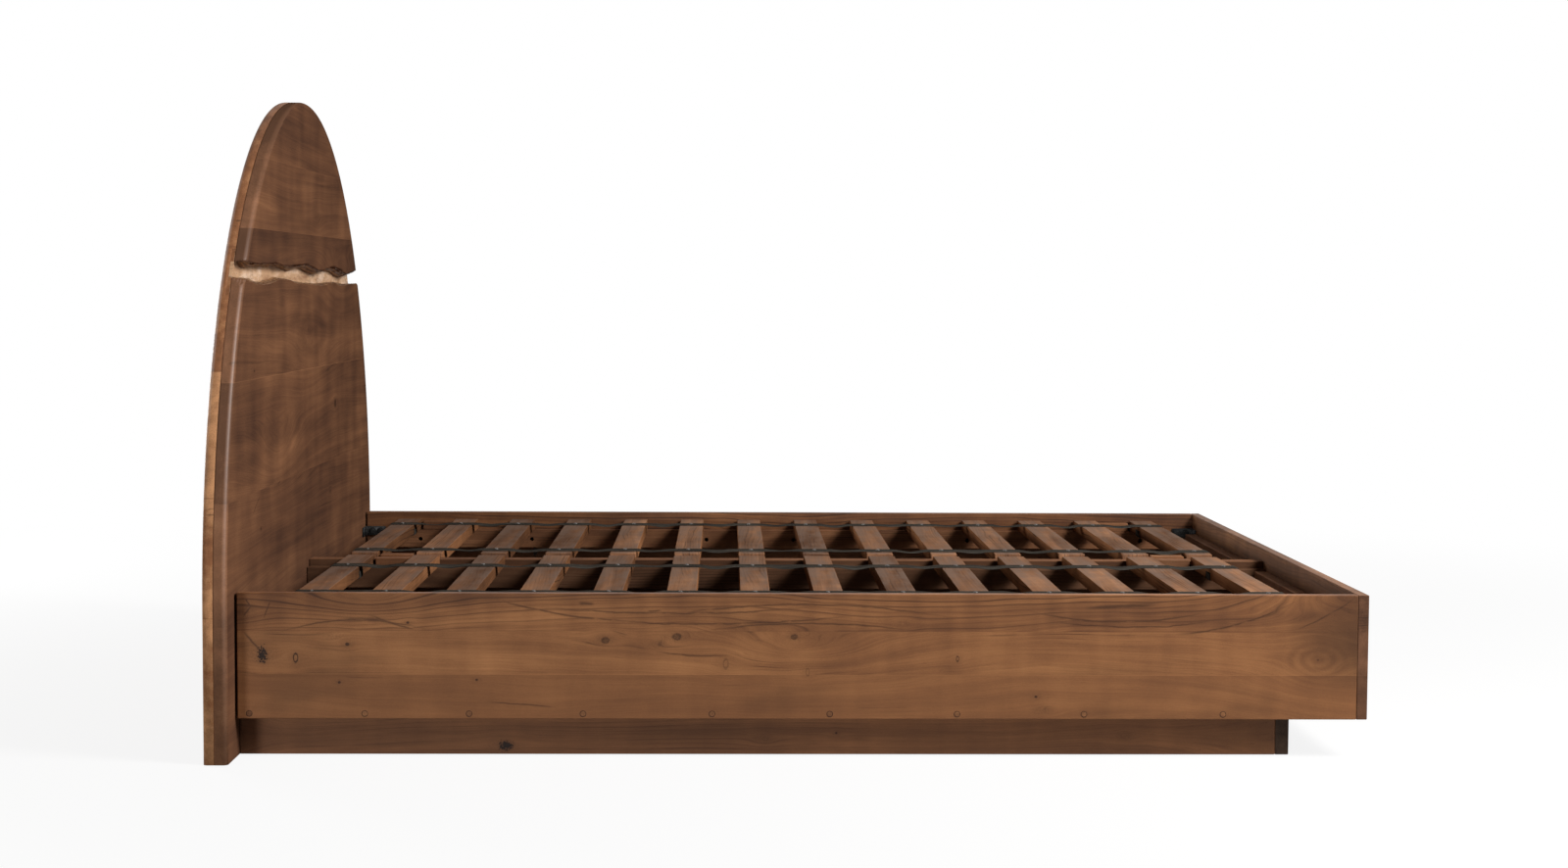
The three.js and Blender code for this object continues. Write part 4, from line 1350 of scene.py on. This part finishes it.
def strap_path(boxes, seed):
    """Down beside the first slat, round it, over every slat with a slack bight between, and round
    the last. Each point is (x, z, how far the band rolls)."""
    clear = FIT + WEBBING_THICKNESS / 2
    top, under = DECK_TOP + clear, boxes[0][0].z - clear
    first_low, first_high = boxes[0]
    last_low, last_high = boxes[-1]
    tail = top - STRAP_TAIL
    lead_in = [(first_high.x + clear, tail), (first_high.x + clear, under),
               (first_low.x - clear, under), (first_low.x - clear, top),
               (first_high.x - STRAP_OVER, top)]
    lead_out = [(last_low.x + STRAP_OVER, top), (last_high.x + clear, top),
                (last_high.x + clear, under), (last_low.x - clear, under),
                (last_low.x - clear, tail)]
    deck = []
    for index, ((_, here), (following, _)) in enumerate(zip(boxes, boxes[1:])):
        sag = 0.0030 + 0.0022 * noise.noise(Vector((index * 1.7, seed, 0.5)))
        roll = 0.16 * noise.noise(Vector((index * 2.3 + 0.4, seed, 4.5)))
        lean = 0.5 + 0.2 * noise.noise(Vector((index * 1.1, seed, 8.5)))
        deck.append((here.x - STRAP_LIE, top, 0.0))
        for i in range(13):
            t = i / 12
            low_point = t ** (math.log(0.5) / math.log(lean))
            drop = sag * (0.5 - 0.5 * math.cos(2 * math.pi * low_point))
            ease = math.sin(math.pi * t) ** 2
            deck.append((here.x + (following.x - here.x) * t, top - drop, roll * ease))
        deck.append((following.x + STRAP_LIE, top, 0.0))
    start = [(x, z, 0.0) for x, z in rounded_corners(lead_in, STRAP_BEND)]
    finish = [(x, z, 0.0) for x, z in rounded_corners(lead_out, STRAP_BEND)]
    return start + deck + finish


# Half of a strap's section, from one edge round to the other, as shares of its half sizes.
STRAP_HALF_SECTION = [(-1.0, 0.0), (-0.985, -0.7), (-0.93, -1.0), (-0.5, -1.0), (0.0, -1.0),
                      (0.5, -1.0), (0.93, -1.0), (0.985, -0.7)]


def strap(number, node):
    """One strap of webbing, with its length and breadth as UV."""
    low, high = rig.box(node)
    centre_y, half_width = (low.y + high.y) / 2, (high.y - low.y) / 2
    path = strap_path(SLATS[side_of(centre_y)], number * 3.7)
    half = WEBBING_THICKNESS / 2
    section = STRAP_HALF_SECTION + [(-a, -b) for a, b in STRAP_HALF_SECTION]
    rings, distances, travelled = [], [], 0.0
    for index, (x, z, roll) in enumerate(path):
        before, after = path[max(index - 1, 0)], path[min(index + 1, len(path) - 1)]
        run = Vector((after[0] - before[0], 0, after[1] - before[1])).normalized()
        upward = Vector((-run.z, 0, run.x))
        across = Vector((0, math.cos(roll), 0)) + upward * math.sin(roll)
        face = upward * math.cos(roll) - Vector((0, math.sin(roll), 0))
        if index:
            travelled += math.hypot(x - path[index - 1][0], z - path[index - 1][1])
        drift = 0.0015 * noise.noise(Vector((travelled * 3, number * 5.1, 2.5)))
        middle = Vector((x, centre_y + drift, z))
        rings.append([middle + across * a * half_width + face * b * half for a, b in section])
        distances.append(travelled)
    bm = loft(rings)
    bmesh.ops.recalc_face_normals(bm, faces=bm.faces)
    layer = bm.loops.layers.uv.new("strap")
    bm.verts.index_update()
    for face in bm.faces:
        for loop in face.loops:
            ring, place = divmod(loop.vert.index, len(section))
            loop[layer].uv = (distances[ring], section[place][0] * half_width)
    new_piece(f"webbing_{number}", to_mesh(bm, node), grey_webbing, "webbing", node)


for number, node in enumerate(STRAP_NODES, 1):
    strap(number, node)

# ---- tacks and plugs ----
tack_pattern = pattern_piece(turned([
    (0, -0.0006), (0.0042, -0.0006), (0.0044, 0.0002), (0.0038, 0.0012), (0.0024, 0.0020),
    (0.0009, 0.0023), (0, 0.0023)], sides=16), "tack_pattern")
tack_spots = []
for number, node in enumerate(STRAP_NODES, 1):
    low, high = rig.box(node)
    y = (low.y + high.y) / 2
    for index, (slat_low, slat_high) in enumerate(SLATS[side_of(y)]):
        off = 0.006 * noise.noise(Vector((index * 1.3, number * 2.9, 6.5)))
        x = (slat_low.x + slat_high.x) / 2 + off
        place = Vector((x, y + off, DECK_TOP + FIT + WEBBING_THICKNESS))
        tack_spots.append((place, Vector((0, 0, 1))))
fasteners("webbing_tacks", tack_pattern, tack_spots, tack_steel, "black_steel", 3)

plug_pattern = pattern_piece(turned([
    (0, -0.0010), (PLUG_RADIUS, -0.0010), (PLUG_RADIUS, 0.00015), (PLUG_RADIUS - 0.0004, 0.00035),
    (0, 0.0004)], sides=28), "plug_pattern")
plug_spots = []
for side, sign in SIDES:
    low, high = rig.box(f"side_rail_{side}")
    face_y = high.y if sign > 0 else low.y
    for along in PLUG_PLACES:
        place = Vector((HEAD_FACE + along, face_y, PLUG_HEIGHT))
        plug_spots.append((place, Vector((0, sign, 0))))
fasteners("rail_plugs", plug_pattern, plug_spots, plug_end_grain, "wood_rail", 5)
glue_radius = PLUG_RADIUS + PLUG_GLUE
ring_pattern = pattern_piece(turned([
    (0, -0.0008), (glue_radius, -0.0008), (glue_radius, 0.0001), (0, 0.0001)], sides=28),
    "ring_pattern")
fasteners("rail_plug_glue", ring_pattern, plug_spots, plug_glue_line, "wood_rail", 6)


# ---- brackets, hangers and their bolts ----
def hexagon(radius, height, sides):
    """Points round a hexagon about Z, `radius` at its corners."""
    points = []
    for i, (x, y, z) in enumerate(circle(radius, height, sides)):
        from_flat = (2 * math.pi * i / sides + math.pi / 6) % (math.pi / 3) - math.pi / 6
        flat = math.cos(math.pi / 6) / math.cos(from_flat)
        points.append((x * flat, y * flat, z))
    return points


def hex_bolt():
    """A hexagon bolt head with a washer face and a chamfered crown."""
    sides = 24
    washer = [circle(*ring, sides) for ring in ((0.0085, 0.0), (0.0085, 0.0012), (0.0074, 0.0012))]
    head = [hexagon(*ring, sides) for ring in ((0.0065, 0.0012), (0.0065, 0.0048), (0.0056, 0.0056))]
    bm = loft(washer + head)
    for face in bm.faces:
        face.smooth = False
    return bm


def bend(inside):
    """The quarter turn of a bracket, `inside` its outer face, from the wall to the rail."""
    steps = 5
    radius = BRACKET_BEND - inside
    turns = [math.pi / 2 * i / steps for i in range(steps + 1)]
    return [(inside + radius * (1 - math.cos(turn)), inside + radius * (1 - math.sin(turn)))
            for turn in turns]


def corner_bracket(end, way, side, sign):
    """An angle bracket between the rail and the headboard or foot board; the spots of its bolts."""
    node = f"corner_bracket_{end}_{side}"
    low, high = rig.box(node)
    wall = low.x if way > 0 else high.x         # against the headboard or foot board
    cheek = high.y if sign > 0 else low.y       # against the rail
    leg = high.x - low.x
    thick = BRACKET_STEEL
    outline = [(0.0, leg)] + bend(0.0) + [(leg, 0.0), (leg, thick)]
    outline += bend(thick)[::-1] + [(thick, leg)]
    rings = [[(wall + way * x, cheek - sign * y, z) for x, y in outline] for z in (low.z, high.z)]
    name = f"bracket_{end}_{side}"
    new_piece(name, to_mesh(loft(rings), name), black_steel, "black_steel", node)
    middle_z = (low.z + high.z) / 2
    spots = []
    for along in BRACKET_BOLTS:
        on_cheek = Vector((wall + way * along, cheek - sign * thick, middle_z))
        on_wall = Vector((wall + way * thick, cheek - sign * along, middle_z))
        spots += [(on_cheek, Vector((0, -sign, 0))), (on_wall, Vector((way, 0, 0)))]
    return spots


def beam_hanger(end, way):
    """A bent plate that carries one end of the beam; the spots of its bolts."""
    node = f"beam_hanger_{end}"
    low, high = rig.box(node)
    wall = low.x if way > 0 else high.x
    inner = wall + way * HANGER_STEEL
    lip = wall + way * (high.x - low.x)
    under = high.z - HANGER_STEEL
    outline = [(wall, high.z), (lip, high.z), (lip, under), (inner, under), (inner, low.z),
               (wall, low.z)]
    bm = loft([[(x, y, z) for x, z in outline] for y in (low.y, high.y)])
    bmesh.ops.recalc_face_normals(bm, faces=bm.faces)
    bmesh.ops.bevel(bm, geom=bm.edges[:], offset=PLATE_EASE, segments=2, profile=0.5, affect="EDGES")
    for face in bm.faces:
        face.smooth = face.calc_area() < 4e-5
    name = f"hanger_{end}"
    new_piece(name, to_mesh(bm, name), black_steel, "black_steel", node)
    return [(Vector((inner, y, low.z + up)), Vector((way, 0, 0)))
            for y in HANGER_BOLTS_ACROSS for up in HANGER_BOLTS_UP]


bolt_pattern = pattern_piece(hex_bolt(), "bolt_pattern")
bolt_spots = []
ENDS = (("head", 1), ("foot", -1))
for end, way in ENDS:
    for side, sign in SIDES:
        bolt_spots += corner_bracket(end, way, side, sign)
for end, way in ENDS:
    bolt_spots += beam_hanger(end, way)
fasteners("bracket_bolts", bolt_pattern, bolt_spots, black_steel, "black_steel", 7)

for pattern in patterns:
    bpy.data.objects.remove(pattern)


# ---- room: floor, light, camera ----
WHITE = (1.0, 1.0, 1.0, 1.0)


def seen_as_backdrop(w):
    """1 for what the camera sees, also through glass or in metal, and 0 for light on the bed."""
    path = w.node("ShaderNodeLightPath")
    return w.greatest([path["Is Camera Ray"], path["Is Transmission Ray"], path["Is Glossy Ray"]])


def floor_finish():
    """A matt floor that keeps the bed's shadow and turns white away from it."""
    material, w = new_material("pale_studio_floor")
    pale, dim = (0.86, 0.86, 0.86, 1.0), (0.28, 0.28, 0.28, 1.0)
    to_camera = w.node("ShaderNodeLightPath")["Is Camera Ray"]
    matt = w.node("ShaderNodeBsdfDiffuse", {"Color": w.blend(to_camera, dim, pale)})
    glow = w.node("ShaderNodeEmission", {"Color": WHITE, "Strength": 1.0})
    away = w.length(w.place_on_piece() * (1.0, 1.0, 0.0))
    share = seen_as_backdrop(w) * (w.rise(away, 1.2, 4.2) * 0.12 + 0.88)
    mixed = w.node("ShaderNodeMixShader", {0: share, 1: matt[0], 2: glow[0]})
    w.node("ShaderNodeOutputMaterial", {0: mixed[0]})
    return material


def studio_floor():
    bm = bmesh.new()
    reach = 60.0
    corners = ((-reach, -reach), (reach, -reach), (reach, reach), (-reach, reach))
    bm.faces.new([bm.verts.new((x, y, 0.0)) for x, y in corners])
    floor = in_scene("studio_floor", to_mesh(bm, "studio_floor"))
    floor.data.materials.append(floor_finish())
    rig.stage(floor)


def softbox(name, place, aim, width, height, power, tint=(1.0, 1.0, 1.0)):
    light = bpy.data.lights.new(name, "AREA")
    light.shape = "RECTANGLE"
    light.size, light.size_y = width, height
    light.energy = power
    light.color = tint
    lamp = in_scene(name, light)
    lamp.location = place
    lamp.rotation_mode = "QUATERNION"
    lamp.rotation_quaternion = (Vector(aim) - Vector(place)).to_track_quat("-Z", "Y")


def studio_world(ambient):
    """White behind the bed, and a little light from all round."""
    world = bpy.data.worlds.new("studio_world")
    world.use_nodes = True
    world.node_tree.nodes.clear()
    w = Wiring(world.node_tree)
    strength = w.greatest([seen_as_backdrop(w), ambient])
    backdrop = w.node("ShaderNodeBackground", {"Color": WHITE, "Strength": strength})
    w.node("ShaderNodeOutputWorld", {0: backdrop[0]})
    bpy.context.scene.world = world


def camera():
    """A camera that stands in front of the near side; its place is from the headboard's face."""
    place = Vector((HEAD_FACE + 0.896, -5.113, 0.863))
    yaw, pitch, roll = math.radians(1.37), math.radians(3.52), math.radians(0.31)
    data = bpy.data.cameras.new("viewing_camera")
    data.sensor_width = 36.0
    data.lens = 54.56
    data.clip_end = 200.0
    level = math.cos(pitch)
    ahead = Vector((math.sin(yaw) * level, math.cos(yaw) * level, -math.sin(pitch)))
    right = Vector((math.cos(yaw), -math.sin(yaw), 0.0))
    upward = right.cross(ahead)
    side = right * math.cos(roll) + upward * math.sin(roll)
    crown = upward * math.cos(roll) - right * math.sin(roll)
    turn = Matrix((side, crown, -ahead)).transposed().to_4x4()
    eye = in_scene("viewing_camera", data)
    eye.matrix_world = Matrix.Translation(place) @ turn
    bpy.context.scene.camera = eye


studio_floor()
studio_world(0.045)
softbox("key_softbox", (3.1, -2.1, 3.2), (0.0, 0.0, 0.25), 1.3, 1.3, 212.0, (1.0, 0.985, 0.965))
softbox("side_softbox", (3.6, -2.6, 2.6), (-1.0, -0.6, 0.6), 2.0, 1.2, 60.0)
softbox("front_softbox", (-4.6, -10.4, 0.75), (0.0, -0.8, 0.2), 1.7, 0.5, 290.0)
softbox("rear_softbox", (-3.8, 2.6, 0.9), (-1.0, 0.2, 0.5), 1.4, 1.2, 110.0)
softbox("head_side_softbox", (-3.6, -1.6, 1.0), (-1.0, -0.8, 0.6), 0.7, 1.8, 10.0)
camera()
bpy.context.scene.view_settings.view_transform = "Standard"

visual_low, visual_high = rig.bounds()
with open("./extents.json", "w") as file:
    json.dump({"cad": [list(cad_low), list(cad_high)],
               "visual": [list(visual_low), list(visual_high)]}, file)
